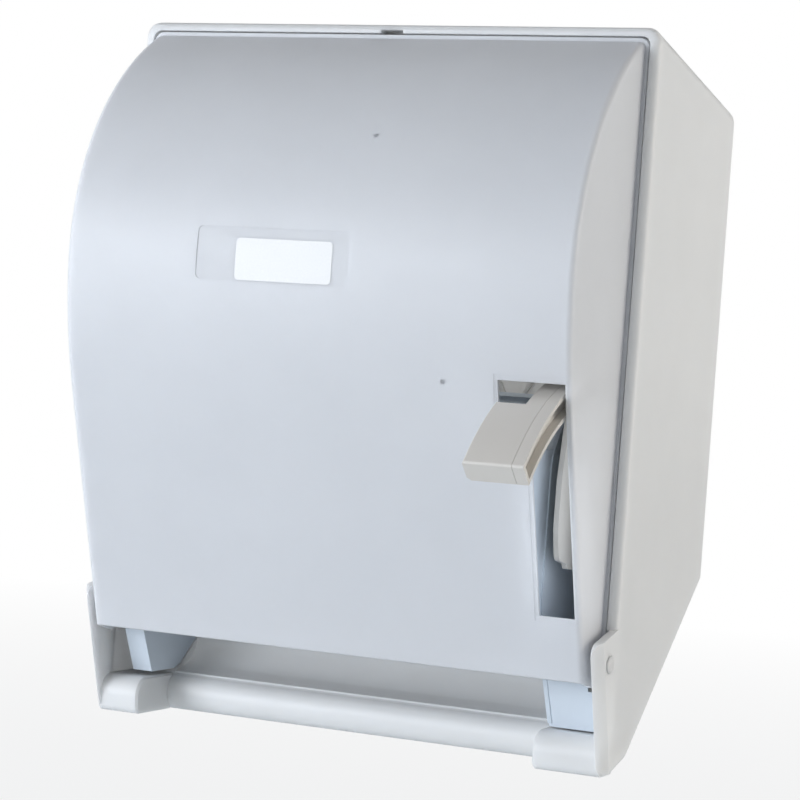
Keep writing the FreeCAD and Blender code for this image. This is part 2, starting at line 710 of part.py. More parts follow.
def drive_pinion():
    """Pinion on the feed shaft; its tooth gaps face the idler's teeth."""
    toward_idler = FEED_DEG - 180
    gear = gear_teeth(GEAR_MODULE, PINION_TEETH, FEED_AXIS, toward_idler + idler_phase_at_feed(),
                      PINION_TEETH, GEAR_X0, GEAR_X1, 0)
    collar = bar(130.5, GEAR_X0, FEED_AXIS, 10.0)
    return fuse([gear, collar]).cut(hole(120, 150, FEED_AXIS, FEED_SHAFT_R))


def idler_first_tooth():
    """Direction of one idler tooth: a gap of the idler faces a tooth of the sector."""
    return IDLER_DEG - 180 + 180.0 / PINION_TEETH


def idler_phase_at_feed():
    """Turn that puts a pinion gap opposite the idler tooth nearest the line of centres."""
    step = 360.0 / PINION_TEETH
    offset = (idler_first_tooth() - FEED_DEG) % step
    return step / 2 - offset


def idler_gear():
    gear = gear_teeth(GEAR_MODULE, PINION_TEETH, IDLER_AXIS, idler_first_tooth(), PINION_TEETH,
                      GEAR_X0, GEAR_X1, 0)
    collar = bar(GEAR_X0 - 1.5, 148.0, IDLER_AXIS, 8.0)
    return fuse([gear, collar]).cut(hole(120, 150, IDLER_AXIS, 4.0 + RUN))


def idler_stud():
    """Fixed stud that the idler turns on, headed inside the side frame."""
    return rod(121.0, 153.8, IDLER_AXIS, 4.0)


def sector_gear():
    step = 360.0 / SECTOR_TEETH
    count = 10
    ahead = 8
    first = IDLER_DEG - ahead * step
    rim = gear_teeth(GEAR_MODULE, SECTOR_TEETH, LEVER_PIVOT, first, count, 136.4, GEAR_X1 - 0.1, 74.0)
    start = first - step / 2
    end = first + (count - 0.5) * step
    spokes = []
    for low in (start, end - 9.0):
        spokes.append(arc_slab(LEVER_PIVOT, 12.0, 75.0, low, low + 9.0, 136.4, 141.0))
    hub = bar(136.4, 142.8, LEVER_PIVOT, 16.0, 16)
    gear = fuse([rim, hub] + spokes)
    holes = [bar(130, 150, LEVER_PIVOT, 10.0, 16)]
    holes += [hole(130, 150, place, 1.6, 6) for place in sector_screw_places()]
    return gear.cut(Part.makeCompound(holes))


def sector_screw_places():
    step = 360.0 / SECTOR_TEETH
    first = IDLER_DEG - 8.5 * step
    last = first + 10 * step
    return [polar(LEVER_PIVOT, 60.0, first + 4.5), polar(LEVER_PIVOT, 60.0, last - 4.5)]


# -------------------------------------------------------------------- lever
def lever_paddle():
    """Hand pad, inner half of the curved arm and the web that carries the gear sector."""
    p = COVER_PIVOT
    start = 63.0
    skin = 2.4
    web = arc_slab(p, ARM_INNER_R, ARM_OUTER_R, start, ARM_END_DEG, ARM_X0, ARM_X0 + 3.0)
    flange_start = 68.5
    top = arc_slab(p, ARM_OUTER_R - skin, ARM_OUTER_R, flange_start, ARM_END_DEG, ARM_X0, SEAM_X - 0.1)
    bottom = arc_slab(p, ARM_INNER_R, ARM_INNER_R + skin, flange_start, ARM_END_DEG, ARM_X0, SEAM_X - 0.1)
    end = arc_slab(p, ARM_INNER_R, ARM_OUTER_R, ARM_END_DEG - 0.9, ARM_END_DEG, PADDLE_X0, SEAM_X - 0.1)
    pad = arc_slab(p, ARM_INNER_R, ARM_OUTER_R, PADDLE_REAR_DEG, ARM_END_DEG, PADDLE_X0, ARM_X0 + 1)
    pad = pad.fuse(end).removeSplitter()
    low = edges_where(pad, lambda m, e: near(math.hypot(m.y - p[0], m.z - p[1]), ARM_INNER_R, 0.1)
                      and near(m.x, PADDLE_X0, 0.1))
    pad = pad.makeChamfer(2.2, low)
    hollow = arc_slab(p, ARM_INNER_R - 2, ARM_OUTER_R - skin, PADDLE_REAR_DEG + 0.9, ARM_END_DEG - 0.9,
                      PADDLE_X0 + skin, ARM_X0)
    pad = pad.cut(hollow)
    ribs = []
    for degrees in (124.0, 131.0):
        ribs.append(arc_slab(p, ARM_OUTER_R - 9, ARM_OUTER_R - 1, degrees, degrees + 0.7,
                             PADDLE_X0 + 1, ARM_X0 + 1))
    q = LEVER_PIVOT
    root = GEAR_MODULE * SECTOR_TEETH / 2 - 6.5
    step = 360.0 / SECTOR_TEETH
    first = IDLER_DEG - 8.5 * step
    last = first + 10 * step
    quadrant = arc_slab(q, 6.0, root, first, last, ARM_X0, ARM_X0 + 3.0)
    lobe = side_slab([
        (q[0] + 4, q[1] + 8), (-120.0, -40.0), (-177.0, -50.0, 4.0), (-182.8, -84.0, 60.0),
        (-182.8, -110.0, 30.0), (-178.5, -128.0, 6.0), (-166.0, -130.5), (-163.0, -133.5),
        (-150.0, -134.5, 4.0), polar(q, root, first), (q[0], q[1] - 8)], ARM_X0, ARM_X0 + 3.0)
    hub = bar(ARM_X0, ARM_X1 + 0.4, q, 10.0, 16)
    lever = fuse([web, top, bottom, pad, quadrant, lobe, hub] + ribs)
    holes = [rod(ARM_X0 - 1, ARM_X1 + 2, q, 4.0 + RUN)]
    holes += [hole(130, 140, place, 1.6, 6) for place in sector_screw_places()]
    lever = lever.cut(Part.makeCompound(holes))
    rim = edges_where(lever, lambda m, e: near(math.hypot(m.y - p[0], m.z - p[1]), ARM_OUTER_R, 0.1)
                      and near(m.x, PADDLE_X0, 0.1))
    lever = lever.makeChamfer(1.0, rim)
    return lever.makeFillet(1.5, front_edges(lever))


def front_edges(shape):
    """Edge across the front of the lever, where its top meets its end."""
    y, z = polar(COVER_PIVOT, ARM_OUTER_R, ARM_END_DEG)
    return edges_where(shape, lambda m, e: near(m.y, y, 0.1) and near(m.z, z, 0.1))


def lever_arm():
    """Outer half of the arm, a curved channel open to the right."""
    p = COVER_PIVOT
    start = 66.5
    skin = 2.4
    x0 = SEAM_X + 0.1
    web = arc_slab(p, ARM_INNER_R, ARM_OUTER_R, start, ARM_END_DEG, x0, x0 + 2.0)
    top = arc_slab(p, ARM_OUTER_R - skin, ARM_OUTER_R, start, ARM_END_DEG, x0, ARM_X1)
    bottom = arc_slab(p, ARM_INNER_R, ARM_INNER_R + skin, start, ARM_END_DEG, x0, ARM_X1)
    end = arc_slab(p, ARM_INNER_R, ARM_OUTER_R, ARM_END_DEG - 0.9, ARM_END_DEG, x0, ARM_X1)
    arm = fuse([web, top, bottom, end])
    return arm.makeFillet(1.5, front_edges(arm))


def lever_pivot_pin():
    shank = rod(121.0, 153.4, LEVER_PIVOT, 4.0)
    head = bar(153.4, 155.6, LEVER_PIVOT, 6.5)
    return fuse([shank, head])


def lever_return_spring():
    """Torsion spring round the spool, one leg on the frame, one under the arm."""
    y, z = LEVER_PIVOT
    body = coil(8.2, 0.7, 1.55, 3.5, Vector(126.6, y, z), Vector(1, 0, 0))
    return body


def gear_cover():
    plate = side_slab([
        (-140.0, -60.0), (-112.0, -28.0, 12.0), (-50.0, -28.0, 16.0), (-7.0, -75.0),
        (-7.0, -138.0), (-62.0, -183.0), (-141.0, -183.0)], 151.2, 153.2)
    holes = [hole(150, 155, place, 1.9, 6) for place in standoff_places()]
    holes.append(hole(150, 155, LEVER_PIVOT, 4.02))
    holes.append(hole(150, 155, IDLER_AXIS, 4.02))
    return plate.cut(Part.makeCompound(holes))


def gear_cover_screws():
    return Part.makeCompound([
        screw(Vector(153.2, y, z), Vector(-1, 0, 0), 3.6, 2.2, 1.58, 9.0) for y, z in standoff_places()])


# ------------------------------------------------------------------- feeding
def sleeve_spans():
    return [(-99.0, -7.0), (7.0, 99.0)]


def feed_shaft():
    return rod(-157.0, 148.0, FEED_AXIS, FEED_SHAFT_R)


def feed_drum():
    return bar(-101.0, 101.0, FEED_AXIS, FEED_R - 5.0, 20).cut(hole(-110, 110, FEED_AXIS, FEED_SHAFT_R))


def feed_sleeves():
    return Part.makeCompound([
        bar(x0, x1, FEED_AXIS, FEED_R, 20).cut(bar(x0, x1, FEED_AXIS, FEED_R - 5.0, 20))
        for x0, x1 in sleeve_spans()])


def backstop_clutch():
    """One-way clutch housing on the left frame that stops the paper running back."""
    x1 = LEFT_FRAME_X - FRAME_T - 1.1
    y, z = FEED_AXIS
    plate = side_slab([(y - 14.0, z - 10.0), (y + 14.0, z - 10.0), (y + 14.0, z + 10.0), (y - 14.0, z + 10.0)],
                      x1 - 2.0, x1)
    body = fuse([plate, bar(x1 - 8.0, x1, FEED_AXIS, 9.0)])
    return body.cut(hole(x1 - 9, x1 + 1, FEED_AXIS, FEED_SHAFT_R + RUN))


def hand_wheel():
    """Scalloped loading wheel on the left end of the feed shaft."""
    scallops = 12
    points = []
    for index in range(scallops):
        angle = index * 360.0 / scallops
        points.append(polar(FEED_AXIS, 20.6, angle))
        points.append(polar(FEED_AXIS, 22.4, angle + 120.0 / scallops))
        points.append(polar(FEED_AXIS, 22.4, angle + 240.0 / scallops))
    wheel = side_slab(points, -157.0, -149.0)
    recess = bar(-158, -150.5, FEED_AXIS, 17.5, 16)
    hub = bar(-157.0, -146.5, FEED_AXIS, 8.0)
    return fuse([wheel.cut(recess), hub]).cut(hole(-160, -140, FEED_AXIS, FEED_SHAFT_R))


def cradle_rod():
    return rod(LEFT_FRAME_X - FRAME_T - 1.5, RIGHT_FRAME_X + FRAME_T + 1.5, CRADLE_AXIS, ROD_R)


def press_cradle():
    """Swinging cradle that holds the pressure roller against the feed roller."""
    hy, hz = CRADLE_AXIS
    gy, gz = PRESS_AXIS
    cheeks = []
    for x0 in (-108.0, 105.0):
        cheek = side_slab([(hy - 2.5, hz + 5.5), (hy - 6.0, hz + 2.0), (gy - 18.0, gz - 9.0), (gy - 6.0, gz - 9.0),
                           (gy + 5.5, gz - 4.0), (hy + 6.0, hz + 2.0), (hy + 2.5, hz + 5.5)], x0, x0 + 3.0)
        cheeks.append(cheek)
    back = side_slab([(gy - 18.0, gz - 8.0), (gy - 15.0, gz - 8.0), (hy - 2.5, hz - 8.0), (hy - 5.5, hz - 8.0)],
                    -106.0, 106.0)
    pads = [box(x - 2.5, x + 2.5, -121.5, -112.5, -167.5, -162.5) for x in (-60, 60)]
    slots = [box(x - 18, x + 18, -125, -95, hz - 24, hz - 14) for x in (-80, 80)]
    cradle = fuse([back.cut(Part.makeCompound(slots))] + cheeks + pads)
    holes = [hole(-112, 112, CRADLE_AXIS, ROD_R + RUN)]
    holes += [hole(-112, -102, PRESS_AXIS, ROD_R + RUN), hole(102, 112, PRESS_AXIS, ROD_R + RUN)]
    return cradle.cut(Part.makeCompound(holes))


def press_axle():
    return rod(-110.0, 110.0, PRESS_AXIS, ROD_R)


def press_rollers():
    return Part.makeCompound([
        bar(x0, x1, PRESS_AXIS, PRESS_R, 16).cut(hole(x0, x1, PRESS_AXIS, ROD_R)) for x0, x1 in sleeve_spans()])


def press_springs():
    springs = []
    for x in (-60, 60):
        springs.append(coil(4.6, 0.6, 5.52, 5.0, Vector(x, -149.8, -165.0), Vector(0, 1, 0)))
    return Part.makeCompound(springs)


# ---------------------------------------------------------------- roll holders
def roll_arm(side):
    y, z = ROLL_AXIS
    x0, x1 = sorted((side * 106.5, side * 109.5))
    blade = side_slab([(-20.0, z + 16.0), (y + 10.0, z + 22.0), (y - 10.0, z + 22.0),
                       (y - 19.0, z + 16.0), (y - 22.0, z + 6.0), (y - 22.0, z - 6.0), (y - 19.0, z - 16.0),
                       (y - 10.0, z - 22.0), (y + 10.0, z - 22.0), (-20.0, z - 16.0)], x0, x1)
    f0, f1 = sorted((side * 109.0, side * 113.5))
    ribs = []
    for low, high in ((z + 13.5, z + 16.0), (z - 16.0, z - 13.5)):
        ribs.append(side_slab([(-18.0, low), (-18.0, high), (y + 12.0, high), (y + 12.0, low)], f0, f1))
    knuckle = prism(Vector(side * 112.0, -12.0, z - 16.0), Vector(0, 0, 32.0), 5.5, 12)
    root = plan_slab([(side * 106.5, -22.0), (side * 106.5, -14.0), (side * 112.0, -8.0),
                      (side * 113.5, -22.0)], z - 16.0, z + 16.0)
    p0, p1 = sorted((side * 91.0, side * 107.0))
    n0, n1 = sorted((side * 89.6, side * 91.6))
    stub = [rod(p0, p1, ROLL_AXIS, 4.0), bar(n0, n1, ROLL_AXIS, 5.4)]
    arm = fuse([blade, knuckle, root] + ribs + stub)
    return arm.cut(hole_z(z - 20, z + 20, side * 112.0, -12.0, 2.0 + RUN))


def arm_hinge_pins():
    z = ROLL_AXIS[1]
    return Part.makeCompound([rod_z(z - 29.0, z + 29.0, side * 112.0, -12.0, 2.0) for side in (-1, 1)])


def core_hub(side):
    """Flanged plug that carries one end of the roll's core."""
    flange0, flange1 = sorted((side * 103.2, side * 106.2))
    b0, b1 = sorted((side * 92.2, side * 103.2))
    hub = fuse([bar(flange0, flange1, ROLL_AXIS, CORE_R + 5.0, 20), bar(b0, b1, ROLL_AXIS, CORE_R, 20)])
    return hub.cut(hole(-120, 120, ROLL_AXIS, 4.0 + RUN))


# ---------------------------------------------------------------------- latch
def latch_bracket():
    """Guide for the latch, hung under the housing top."""
    floor_z = 143.5
    top = TOP_BACK_Z + 141.0 * (TOP_FRONT_Z - TOP_BACK_Z) / -RIM_Y - WALL
    cheeks = []
    for x0 in (-12.9, 10.4):
        cheeks.append(side_slab([(-141.5, floor_z), (-141.5, top - 5.0), (-118.0, top - 5.0), (-118.0, floor_z)],
                                x0, x0 + 2.5))
    floor = box(-12.9, 12.9, -141.5, -118.0, floor_z - 2.0, floor_z + 0.1)
    back = box(-12.9, 12.9, -120.5, -118.0, floor_z - 2.0, 161.0)
    peg = prism(Vector(0.0, -130.0, floor_z), Vector(0, 0, 2.5), 2.6, 8)
    return fuse(cheeks + [floor, back, peg])


def latch_slider():
    """Latch held down, unlocked; raised by its spring its tooth enters the cover's tab."""
    tooth = side_slab([(-140.5, 148.5), (-140.5, 155.0), (-138.9, 155.0), (-138.9, 158.2), (-136.4, 159.0),
                       (-135.1, 159.0), (-135.1, 155.7), (-129.4, 155.7), (-126.5, 158.4), (-123.5, 158.4),
                       (-121.0, 155.7), (-121.0, 148.5)], -5.0, 5.0)
    body = box(-10.1, 10.1, -140.5, -121.0, 148.5, 154.8)
    socket = hole_z(148.0, 152.0, 0.0, -130.0, 5.2)
    return fuse([tooth, body]).cut(socket)


def latch_spring():
    return coil(4.0, 0.5, 2.4, 3.0, Vector(0.0, -130.0, 144.2), Vector(0, 0, 1))


# ---------------------------------------------------------------------- output
save(rear_housing(), "rear_housing")
save(front_cover(), "front_cover")
save(cover_catch(), "cover_catch")
save(cover_hinge_pins(), "cover_hinge_pins")
save(left_side_frame(), "left_side_frame")
save(right_side_frame(), "right_side_frame")
save(rear_guide_plate(), "rear_guide_plate")
save(front_rail(), "front_rail")
save(tear_blade(), "tear_blade")
save(blade_screws(), "blade_screws")
save(frame_screws(), "frame_screws")
save(lever_paddle(), "lever_paddle")
save(lever_arm(), "lever_arm")
save(sector_gear(), "sector_gear")
save(lever_pivot_pin(), "lever_pivot_pin")
save(lever_return_spring(), "lever_return_spring")
save(gear_cover(), "gear_cover")
save(gear_cover_screws(), "gear_cover_screws")
save(drive_pinion(), "drive_pinion")
save(idler_gear(), "idler_gear")
save(idler_stud(), "idler_stud")
save(feed_shaft(), "feed_shaft")
save(feed_drum(), "feed_drum")
save(feed_sleeves(), "feed_sleeves")
save(backstop_clutch(), "backstop_clutch")
save(hand_wheel(), "hand_wheel")
save(cradle_rod(), "cradle_rod")
save(press_cradle(), "press_cradle")
save(press_axle(), "press_axle")
save(press_rollers(), "press_rollers")
save(press_springs(), "press_springs")
for name, sign in (("left", -1), ("right", 1)):
    save(roll_arm(sign), name + "_roll_arm")
    save(core_hub(sign), name + "_core_hub")
save(arm_hinge_pins(), "arm_hinge_pins")
save(latch_bracket(), "latch_bracket")
save(latch_slider(), "latch_slider")
save(latch_spring(), "latch_spring")
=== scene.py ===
"""Looks of the lever paper towel dispenser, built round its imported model.

Metres, in the model's own frame: X to the right, Y towards the wall, Z up.
Sections follow the dispenser as it is put together.
"""
import bmesh
import bpy
import math
from mathutils import Matrix, Vector
from mathutils.bvhtree import BVHTree


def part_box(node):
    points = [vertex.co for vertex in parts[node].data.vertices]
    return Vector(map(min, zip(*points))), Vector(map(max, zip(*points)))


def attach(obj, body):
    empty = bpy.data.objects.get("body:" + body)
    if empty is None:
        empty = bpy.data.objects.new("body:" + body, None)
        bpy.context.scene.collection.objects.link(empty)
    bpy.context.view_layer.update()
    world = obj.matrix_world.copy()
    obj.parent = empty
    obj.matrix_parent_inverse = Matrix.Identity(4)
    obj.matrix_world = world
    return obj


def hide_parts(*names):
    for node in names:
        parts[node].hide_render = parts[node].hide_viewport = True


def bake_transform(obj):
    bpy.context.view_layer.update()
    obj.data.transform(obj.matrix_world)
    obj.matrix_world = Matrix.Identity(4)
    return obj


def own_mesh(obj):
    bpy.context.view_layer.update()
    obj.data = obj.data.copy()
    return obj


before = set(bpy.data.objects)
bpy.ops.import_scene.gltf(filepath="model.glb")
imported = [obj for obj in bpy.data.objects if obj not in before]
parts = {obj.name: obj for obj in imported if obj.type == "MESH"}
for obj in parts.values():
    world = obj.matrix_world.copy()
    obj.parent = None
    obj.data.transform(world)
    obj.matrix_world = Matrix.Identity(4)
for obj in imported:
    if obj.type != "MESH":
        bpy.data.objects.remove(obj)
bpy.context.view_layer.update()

# ------------------------------------------------------------------ rear housing
# One injection moulding in warm grey-white ABS: back wall, sloping top, sides,
# ears for the cover's hinge and the bar along the exit. Its faces carry a fine
# spark-eroded grain, and its edges are broken by the mould.


def blank_material(name, roughness):
    """New material with its shader and the object's own coordinates."""
    material = bpy.data.materials.new(name)
    material.use_nodes = True
    tree = material.node_tree
    shader = tree.nodes["Principled BSDF"]
    shader.inputs["Roughness"].default_value = roughness
    place = tree.nodes.new("ShaderNodeTexCoord").outputs["Object"]
    return material, tree, shader, place


def noise(tree, place, scale, detail=3.0):
    """Noise pattern with a grain of about one over scale metres."""
    node = tree.nodes.new("ShaderNodeTexNoise")
    node.inputs["Scale"].default_value = scale
    node.inputs["Detail"].default_value = detail
    tree.links.new(place, node.inputs["Vector"])
    return node.outputs["Fac"]


def ramp(tree, pattern, stops):
    """Colours along a pattern, from (position, colour) pairs."""
    node = tree.nodes.new("ShaderNodeValToRGB")
    band = node.color_ramp
    while len(band.elements) < len(stops):
        band.elements.new(0.5)
    for element, (position, colour) in zip(band.elements, stops):
        element.position = position
        element.color = (*colour, 1.0)
    tree.links.new(pattern, node.inputs["Fac"])
    return node.outputs["Color"]


def spread(tree, pattern, low, high):
    """A pattern from 0 to 1 stretched to run from low to high."""
    node = tree.nodes.new("ShaderNodeMapRange")
    node.inputs["From Min"].default_value = 0.3
    node.inputs["From Max"].default_value = 0.7
    node.inputs["To Min"].default_value = low
    node.inputs["To Max"].default_value = high
    tree.links.new(pattern, node.inputs["Value"])
    return node.outputs["Result"]


def bump(tree, shader, height, strength, distance):
    """Lets a pattern raise and sink the surface by up to a distance."""
    node = tree.nodes.new("ShaderNodeBump")
    node.inputs["Strength"].default_value = strength
    node.inputs["Distance"].default_value = distance
    tree.links.new(height, node.inputs["Height"])
    tree.links.new(node.outputs["Normal"], shader.inputs["Normal"])


def tinted(colour, factor):
    """A colour made lighter or darker by a factor."""
    return tuple(min(1.0, channel * factor) for channel in colour)


def moulded_abs(name, colour, roughness, grain_strength, glow=0.0, reach=0.004):
    """Satin ABS: faint flow clouds in its colour, fine eroded grain, uneven sheen.

    Light passes a few millimetres into a white moulding, so thin walls glow a little.
    """
    material, tree, shader, place = blank_material(name, roughness)
    shader.inputs["Subsurface Weight"].default_value = glow
    shader.inputs["Subsurface Scale"].default_value = reach
    shader.inputs["Subsurface Radius"].default_value = (1.0, 0.97, 0.94)
    clouds = noise(tree, place, 14.0, 4.0)
    tree.links.new(ramp(tree, clouds, [(0.3, tinted(colour, 0.975)), (0.7, tinted(colour, 1.015))]),
                   shader.inputs["Base Color"])
    sheen = noise(tree, place, 60.0, 2.0)
    tree.links.new(spread(tree, sheen, roughness - 0.03, roughness + 0.04), shader.inputs["Roughness"])
    bump(tree, shader, noise(tree, place, 2600.0, 2.0), grain_strength, 0.00012)
    shader.inputs["Specular IOR Level"].default_value = 0.45
    return material


SHARP_ANGLE = math.radians(26)


def smooth_group():
    """Geometry nodes that shade a mesh smooth except across edges sharper than the sharp angle."""
    group = bpy.data.node_groups.new("smooth_by_angle", "GeometryNodeTree")
    group.interface.new_socket("Geometry", in_out="INPUT", socket_type="NodeSocketGeometry")
    group.interface.new_socket("Geometry", in_out="OUTPUT", socket_type="NodeSocketGeometry")
    source = group.nodes.new("NodeGroupInput")
    sink = group.nodes.new("NodeGroupOutput")
    angle = group.nodes.new("GeometryNodeInputMeshEdgeAngle")
    below = group.nodes.new("FunctionNodeCompare")
    below.operation = "LESS_THAN"
    below.inputs[1].default_value = SHARP_ANGLE
    faces = group.nodes.new("GeometryNodeSetShadeSmooth")
    edges = group.nodes.new("GeometryNodeSetShadeSmooth")
    edges.domain = "EDGE"
    group.links.new(angle.outputs["Unsigned Angle"], below.inputs[0])
    group.links.new(source.outputs[0], faces.inputs["Geometry"])
    group.links.new(faces.outputs[0], edges.inputs["Geometry"])
    group.links.new(below.outputs[0], edges.inputs["Shade Smooth"])
    group.links.new(edges.outputs[0], sink.inputs[0])
    return group


SMOOTH = smooth_group()


def dress(piece, material, edge_break=0.0):
    """Gives a piece its finish, breaks its sharp edges and shades its curves smooth."""
    piece.data.materials.clear()
    piece.data.materials.append(material)
    weld = piece.modifiers.new("weld", "WELD")
    weld.merge_threshold = 0.000002
    if edge_break:
        edge = piece.modifiers.new("edge", "BEVEL")
        edge.width = edge_break
        edge.segments = 2
        edge.limit_method = "ANGLE"
        edge.angle_limit = SHARP_ANGLE
    smooth = piece.modifiers.new("smooth", "NODES")
    smooth.node_group = SMOOTH
    flats = piece.modifiers.new("flats", "WEIGHTED_NORMAL")
    flats.keep_sharp = True
    flats.weight = 60
    return piece


HOUSING_WHITE = (0.836, 0.838, 0.834)
housing_abs = moulded_abs("housing_abs", HOUSING_WHITE, 0.42, 0.25, 0.8, 0.007)
dress(parts["rear_housing"], housing_abs, 0.0006)

# ---------------------------------------------------------------- cover hinge pins
# Two moulded pins with low domed heads, pressed through the ears of the housing.
# The cover turns on their inner ends.


def join_rings(mesh, low, high):
    """Skins the gap between two rings of points; a ring of one point is a tip."""
    count = max(len(low), len(high))
    if count == 1:
        return
    for index in range(count):
        after = index + 1
        corners = [low[index % len(low)], low[after % len(low)],
                   high[after % len(high)], high[index % len(high)]]
        mesh.faces.new(list(dict.fromkeys(corners)))


def turned(mesh, foot, axis, section, sides=48):
    """Adds a turned form to a mesh: (along, radius) corners of its section, swept about an axis.

    A radius may be a function of the angle, for a head or rim that isn't round. The section
    closes on itself, or on the axis where its first and last radius are zero.
    """
    along = Vector(axis).normalized()
    across = along.orthogonal().normalized()
    up = along.cross(across)
    rings = []
    for distance, radius in section:
        centre = Vector(foot) + along * distance
        if radius == 0.0:
            rings.append([mesh.verts.new(centre)])
            continue
        ring = []
        for index in range(sides):
            angle = 2 * math.pi * index / sides
            reach = radius(angle) if callable(radius) else radius
            ring.append(mesh.verts.new(centre + (across * math.cos(angle) + up * math.sin(angle)) * reach))
        rings.append(ring)
    for low, high in zip(rings, rings[1:] + rings[:1]):
        join_rings(mesh, low, high)


def place_piece(mesh, name, material, body, edge_break=0.0):
    """Turns a finished mesh into a piece that rides on a body."""
    bmesh.ops.recalc_face_normals(mesh, faces=mesh.faces)
    data = bpy.data.meshes.new(name)
    mesh.to_mesh(data)
    mesh.free()
    piece = bpy.data.objects.new(name, data)
    bpy.context.scene.collection.objects.link(piece)
    dress(piece, material, edge_break)
    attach(piece, body)
    return piece


def middle(node):
    """Centre of a node's box."""
    low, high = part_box(node)
    return (low + high) / 2


PIN_R = 0.004
PIN_HEAD_R = 0.005
PIN_HEAD_H = 0.0012
PIN_LENGTH = 0.0140
PIN_CHAMFER = 0.0006
pin_low, pin_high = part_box("cover_hinge_pins")
mesh = bmesh.new()
for side, tip in ((-1, pin_low.x), (1, pin_high.x)):
    turned(mesh, (tip, middle("cover_hinge_pins").y, middle("cover_hinge_pins").z), (-side, 0, 0), [
        (0.0, 0.0), (0.0, 0.6 * PIN_HEAD_R), (0.0003, 0.86 * PIN_HEAD_R), (0.0008, PIN_HEAD_R),
        (PIN_HEAD_H, PIN_HEAD_R), (PIN_HEAD_H, PIN_R), (PIN_LENGTH - PIN_CHAMFER, PIN_R),
        (PIN_LENGTH, PIN_R - PIN_CHAMFER), (PIN_LENGTH, 0.0)])
pins = place_piece(mesh, "domed_hinge_pins", housing_abs, "dispenser")
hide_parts("cover_hinge_pins")

# -------------------------------------------------------- roll arms and core hubs
# Two springy arms in light grey ABS hang on steel pins at the back wall. Each one
# carries a turning hub that plugs into the end of the roll's core.
# The inner parts' grey is bluer and lighter than their plastic: painted cool light for the shaded inside.
INNER_GREY_WITH_PAINTED_COOL_LIGHT = (0.73, 0.80, 0.875)
inner_abs_painted_cool_light = moulded_abs("inner_abs_painted_cool_light", INNER_GREY_WITH_PAINTED_COOL_LIGHT, 0.5, 0.2)
HUB_GREY = (0.055, 0.065, 0.085)
hub_plastic = moulded_abs("hub_plastic", HUB_GREY, 0.55, 0.35)


def plated_steel(name, colour, roughness):
    """Zinc plated steel with fine drawing lines along X and a slightly cloudy plate."""
    material, tree, shader, place = blank_material(name, roughness)
    shader.inputs["Metallic"].default_value = 1.0
    stretch = tree.nodes.new("ShaderNodeMapping")
    stretch.inputs["Scale"].default_value = (0.05, 1.0, 1.0)
    tree.links.new(place, stretch.inputs["Vector"])
    lines = noise(tree, stretch.outputs["Vector"], 3000.0, 2.0)
    clouds = noise(tree, place, 120.0, 3.0)
    tree.links.new(ramp(tree, clouds, [(0.3, tinted(colour, 0.85)), (0.7, tinted(colour, 1.08))]),
                   shader.inputs["Base Color"])
    tree.links.new(spread(tree, lines, roughness - 0.06, roughness + 0.1), shader.inputs["Roughness"])
    bump(tree, shader, lines, 0.15, 0.00005)
    return material


zinc_steel = plated_steel("zinc_steel", (0.56, 0.57, 0.59), 0.34)
HUB_BORE_R = 0.0042
CORE_R = 0.019
HUB_FLANGE_R = 0.024
CRUSH_RIBS = 8
CRUSH_RIB_H = 0.0007


def crush_ribs(radius, ribs, height):
    """Radius at an angle of a plug with narrow ribs that grip the core."""
    def reach(angle):
        return radius - height + height * max(0.0, math.cos(ribs * angle)) ** 6
    return reach


for side, outward in (("left", -1), ("right", 1)):
    dress(parts[side + "_roll_arm"], inner_abs_painted_cool_light, 0.0004)
    node = side + "_core_hub"
    low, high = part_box(node)
    inner_x = high.x if outward < 0 else low.x
    plug = crush_ribs(CORE_R, CRUSH_RIBS, CRUSH_RIB_H)
    mesh = bmesh.new()
    # From the bore over the rounded nose and the ribbed plug to the flange and its dished back.
    turned(mesh, (inner_x, middle(node).y, middle(node).z), (outward, 0, 0), [
        (0.0, HUB_BORE_R), (0.0, 0.0135), (0.0012, 0.0160), (0.0030, 0.0180), (0.0040, plug), (0.0110, plug),
        (0.0110, HUB_FLANGE_R - 0.0006), (0.0116, HUB_FLANGE_R), (0.0134, HUB_FLANGE_R),
        (0.0140, HUB_FLANGE_R - 0.0006), (0.0140, 0.0205), (0.0128, 0.0198), (0.0128, 0.0090),
        (0.0140, 0.0082), (0.0140, HUB_BORE_R)], 96)
    hub = place_piece(mesh, side + "_turning_hub", hub_plastic, side + "_hub")
    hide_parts(node)
dress(parts["arm_hinge_pins"], zinc_steel)

# --------------------------------------------------------------------- side frames
# Two moulded plates in light grey ABS, whose bluish tint is painted cool light, screwed to
# bosses on the back wall. The feed roller and the pressure cradle hang between them.
dress(parts["left_side_frame"], inner_abs_painted_cool_light, 0.0004)
dress(parts["right_side_frame"], inner_abs_painted_cool_light, 0.0004)
THREAD_PITCH = 0.0009
THREAD_HALF_WIDTH = 0.3 * THREAD_PITCH


def hexagon(across_corners):
    """Radius at an angle of a hexagon."""
    def reach(angle):
        turn = (angle + math.pi / 6) % (math.pi / 3) - math.pi / 6
        return across_corners / 2 * math.cos(math.pi / 6) / math.cos(turn)
    return reach


def cross(length, width):
    """Radius at an angle of the cross that a driver fits."""
    def reach(angle):
        turn = abs((angle + math.pi / 4) % (math.pi / 2) - math.pi / 4)
        return min(length / math.cos(turn), width / max(math.sin(turn), 0.001))
    return reach


